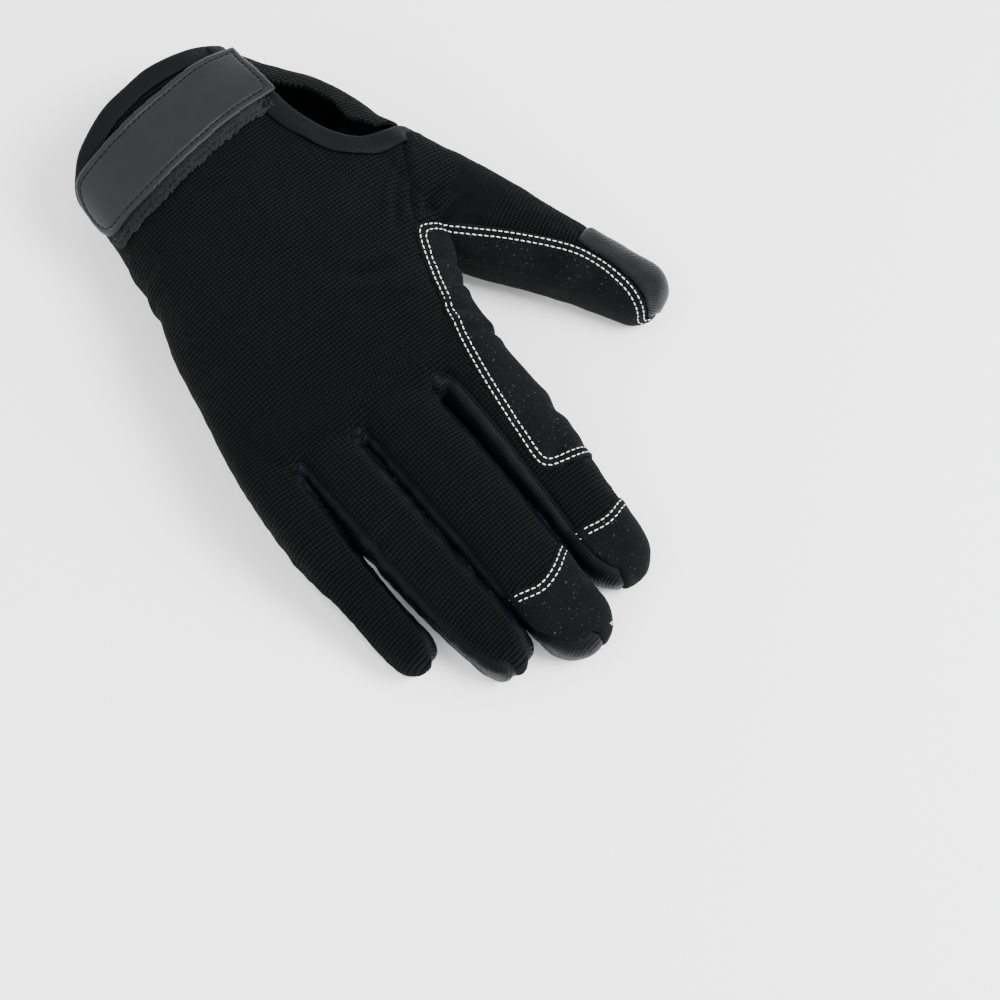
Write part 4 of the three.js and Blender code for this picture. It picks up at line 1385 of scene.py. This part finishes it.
# %% [markdown]
# ## Stitches
#
# A stitch is the same small grain of thread repeated hundreds of times at an even pitch, so
# Geometry Nodes sets them: the rows become curves, the curves are divided by the pitch, and
# each point gets a grain turned along the row and up from the cloth. The result is baked to a
# plain mesh, so nothing depends on the modifier later.


# %% The stitch nodes
def stitch_nodes():
    """The tree that sets grains of thread along lines, with its inputs' identifiers."""
    tree = bpy.data.node_groups.new("Stitches", "GeometryNodeTree")
    new = tree.interface.new_socket
    ids = {}
    for name, kind, value in (
        ("Geometry", "NodeSocketGeometry", None),
        ("Pitch", "NodeSocketFloat", 0.0021),
        ("Length", "NodeSocketFloat", 0.0016),
        ("Thickness", "NodeSocketFloat", 0.0004),
        ("Seed", "NodeSocketInt", 4),
        ("Thread", "NodeSocketMaterial", None),
    ):
        socket = new(name, in_out="INPUT", socket_type=kind)
        ids[name] = socket.identifier
        if value is not None:
            socket.default_value = value
    new("Geometry", in_out="OUTPUT", socket_type="NodeSocketGeometry")
    given = add(tree, "NodeGroupInput").outputs
    curve = add(tree, "GeometryNodeMeshToCurve", {"Mesh": given["Geometry"]})
    marks = add(
        tree,
        "GeometryNodeResampleCurve",
        {"Curve": curve.outputs[0], "Length": given["Pitch"]},
        mode="LENGTH",
    )
    facing = add(
        tree, "GeometryNodeInputNamedAttribute", {"Name": "facing"}, data_type="FLOAT_VECTOR"
    )
    tangent = add(tree, "GeometryNodeInputTangent")
    turn = add(
        tree,
        "FunctionNodeAxesToRotation",
        {"Primary Axis": facing.outputs["Attribute"], "Secondary Axis": tangent.outputs[0]},
        primary_axis="Z",
        secondary_axis="X",
    )
    wobble = add(tree, "FunctionNodeRandomValue", {"Seed": given["Seed"]}, data_type="FLOAT")
    wobble.inputs[2].default_value, wobble.inputs[3].default_value = -0.12, 0.12
    lean = add(tree, "ShaderNodeCombineXYZ", {"Z": wobble.outputs[1]})
    turned = add(
        tree,
        "FunctionNodeRotateRotation",
        {"Rotation": turn.outputs[0], "Rotate By": lean.outputs[0]},
        rotation_space="LOCAL",
    )
    wide, long = (maths(tree, "MULTIPLY", given[name], 0.5) for name in ("Thickness", "Length"))
    size = add(tree, "ShaderNodeCombineXYZ", {"X": long, "Y": wide, "Z": wide})
    grain = add(tree, "GeometryNodeMeshUVSphere", {"Segments": 8, "Rings": 6, "Radius": 1.0})
    placed = add(
        tree,
        "GeometryNodeInstanceOnPoints",
        {
            "Points": marks.outputs[0],
            "Instance": grain.outputs[0],
            "Rotation": turned.outputs[0],
            "Scale": size.outputs[0],
        },
    )
    real = add(tree, "GeometryNodeRealizeInstances", {"Geometry": placed.outputs[0]})
    sleek = add(tree, "GeometryNodeSetShadeSmooth", {"Geometry": real.outputs[0]}).outputs[0]
    finish = {"Geometry": sleek, "Material": given["Thread"]}
    coloured = add(tree, "GeometryNodeSetMaterial", finish)
    add(tree, "NodeGroupOutput", {"Geometry": coloured.outputs[0]})
    return tree, ids


STITCHES, STITCH_IDS = stitch_nodes()
THREAD_SUNK = 0.15  # how deep a stitch bites into the cloth


def sew(name, lines, look="thread", pitch=2.1, length=1.6, thick=0.42):
    """Sews rows of stitches along lines given as points and facings."""
    points, edges, facings, count = [], [], [], 0
    for line, facing in lines:
        points.append(line + facing * (thick * 0.5 - THREAD_SUNK))
        facings.append(facing)
        edges += [(count + k, count + k + 1) for k in range(len(line) - 1)]
        count += len(line)
    obj = mesh_object(name, np.vstack(points), edges=edges)
    stored = obj.data.attributes.new("facing", "FLOAT_VECTOR", "POINT")
    stored.data.foreach_set("vector", np.ascontiguousarray(np.vstack(facings)).ravel())
    nodes = obj.modifiers.new("Stitches", "NODES")
    nodes.node_group = STITCHES
    for key, value in (
        ("Pitch", pitch * 0.001),
        ("Length", length * 0.001),
        ("Thickness", thick * 0.001),
        ("Seed", 4),
        ("Thread", LOOK[look]),
    ):
        nodes[STITCH_IDS[key]] = value
    dg = bpy.context.evaluated_depsgraph_get()
    baked = bpy.data.meshes.new_from_object(obj.evaluated_get(dg))
    obj.modifiers.clear()
    for vertex in baked.vertices:
        vertex.co.z = max(vertex.co.z, 0.0)  # stitches under the glove are pressed flat
    old, obj.data = obj.data, baked
    bpy.data.meshes.remove(old)
    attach(obj, "root")
    print(f"{name}: {len(baked.polygons)} faces")


# Columns: panel, the borders that the rows follow, and the distances of the rows from them.
ROWS = {
    "stitches_web": ("web_panel", ["back_panel", "thumb_back", "thumb_tip_patch"], (1.3, 3.3)),
    "stitches_index_cap": ("index_cap", ["back_panel", "palm_panel", "web_panel"], (1.4, 3.5)),
    "stitches_middle_cap": ("middle_cap", ["back_panel", "palm_panel"], (1.4, 3.5)),
    "stitches_thenar": ("thenar_strip", ["palm_panel", "back_panel"], (1.4, 3.4)),
    "stitches_web_palm": ("web_panel", ["palm_panel"], (1.3, 3.3)),
    "stitches_window": ("web_panel", ["thumb_window"], (1.3,)),
}
for name, (panel_name, others, insets) in ROWS.items():
    lines = [line for inset in insets for line in row(panel_name, others, inset)]
    sew(name, lines)
for name, part in pads.items():
    lines = contour(part, part["edge"], 1.6) + contour(part, part["edge"], 3.7)
    sew("stitches_" + name, lines)
for name, layer, inset, slot_name in (
    ("stitches_strap", strap, STRAP_ROW, "strap"),
    ("stitches_loop", loop, 1.5, "loop_tape"),
):
    lines = contour(layer, layer["edge"], inset)
    sew(name, lines, "dark_thread", pitch=2.4, length=2.0, thick=0.45)

# %% [markdown]
# ## Drawn stitches
#
# Two kinds of stitching follow no border: a narrow loop that quilts the heel pad, and bartacks,
# the short dense bars that lock the end of a seam. Both are drawn flat and then dropped onto
# the finished cloth along the vertical.


# %% Quilting loop and bartacks
def dropped(part, line, side):
    """A flat line laid onto a part, from above (1) or from below (-1)."""
    target = BVHTree.FromPolygons(part["points"].tolist(), part["tris"].tolist())
    laid, facing = [], []
    for x, y in line:
        start, way = Vector((x, y, 100.0 * side)), Vector((0, 0, -side))
        place, normal, _, _ = target.ray_cast(start, way)
        if place is not None:
            laid.append(list(place))
            facing.append(list(normal if normal.z * side > 0 else -normal))
    return np.array(laid), np.array(facing)


QUILT = [
    (-10, 53), (-13, 51), (-16, 58), (-18, 70), (-19, 88), (-18, 99), (-16, 101), (-13, 94),
    (-11, 79), (-10.5, 64), (-10, 53),
]
laid, facing = dropped(pads["heel_pad"], through(QUILT, 8), -1)
sew("stitches_quilt", [even(laid, facing)])


def bartack(name, panel_name, x, y, way):
    """Short threads side by side, across a bar that runs along way."""
    way = np.array(way, float) / np.linalg.norm(way)
    across = np.array([-way[1], way[0]])
    bars = []
    for step in np.arange(-3, 4) * 0.42:
        ends = [(x, y) + way * step + across * reach for reach in (-0.2, 0.2)]
        laid, facing = dropped(PANELS[panel_name], ends, 1)
        if len(laid) == 2:
            bars.append((laid, facing))
    sew(name, bars, "thread", 2.1, 2.0, 0.36)


bartack("bartack_thumb", "web_panel", -90.7, 134.1, (-0.8, 0.6))
bartack("bartack_middle", "middle_cap", -6.8, 244.4, (-0.3, 1.0))

# %% [markdown]
# ## Table, light and camera
#
# The glove lies on a plain pale surface under broad soft light, as in a shop photograph. The
# camera stands high over the thumb side and looks down at the back of the hand.


# %% Stage
pale, _, shader = material("Pale table")
shader.inputs["Base Color"].default_value = linear("#fbfbfb")
shader.inputs["Roughness"].default_value = 0.9
bpy.ops.mesh.primitive_plane_add(size=6, location=(0, 0, 0))
floor = bpy.context.object
floor.name = "table"
floor.data.materials.append(pale)
floor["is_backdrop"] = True

world = bpy.data.worlds.new("Studio")
bpy.context.scene.world = world
world.use_nodes = True
sky = world.node_tree.nodes["Background"].inputs
sky["Color"].default_value, sky["Strength"].default_value = (1, 1, 1, 1), 2.0


def look_at(obj, place, aim):
    """Puts a lamp or camera at a place, turned to its aim, into the scene."""
    obj.location = place
    obj.rotation_euler = (Vector(aim) - Vector(place)).to_track_quat("-Z", "Y").to_euler()
    bpy.context.scene.collection.objects.link(obj)


def softbox(name, place, size, watts):
    lamp = bpy.data.lights.new(name, "AREA")
    lamp.shape, lamp.size, lamp.energy = "SQUARE", size, watts
    look_at(bpy.data.objects.new(name, lamp), place, (0, 0, 0))


softbox("key", (-0.5, 0.7, 1.1), 0.6, 42)
softbox("fill", (0.9, -0.2, 0.9), 0.9, 6)

CAMERA_PLACE, CAMERA_AIM = (0.2063, 0.2957, 0.7519), (0.0158, 0.0688, 0.0185)
camera = bpy.data.cameras.new("camera")
camera.lens, camera.sensor_width = 85, 36
shot = bpy.data.objects.new("camera", camera)
look_at(shot, CAMERA_PLACE, CAMERA_AIM)
bpy.context.scene.camera = shot

# %% [markdown]
# ## Size
#
# The script prints how far the finished glove has grown beyond the plain model it stands for.

# %% Print the growth in size
low_end, high_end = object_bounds()
corners = [list(low_start), list(high_start), list(low_end), list(high_end)]
grown = (high_end - low_end) - (high_start - low_start)
print("grown by (mm):", [round(x * 1000, 2) for x in grown])
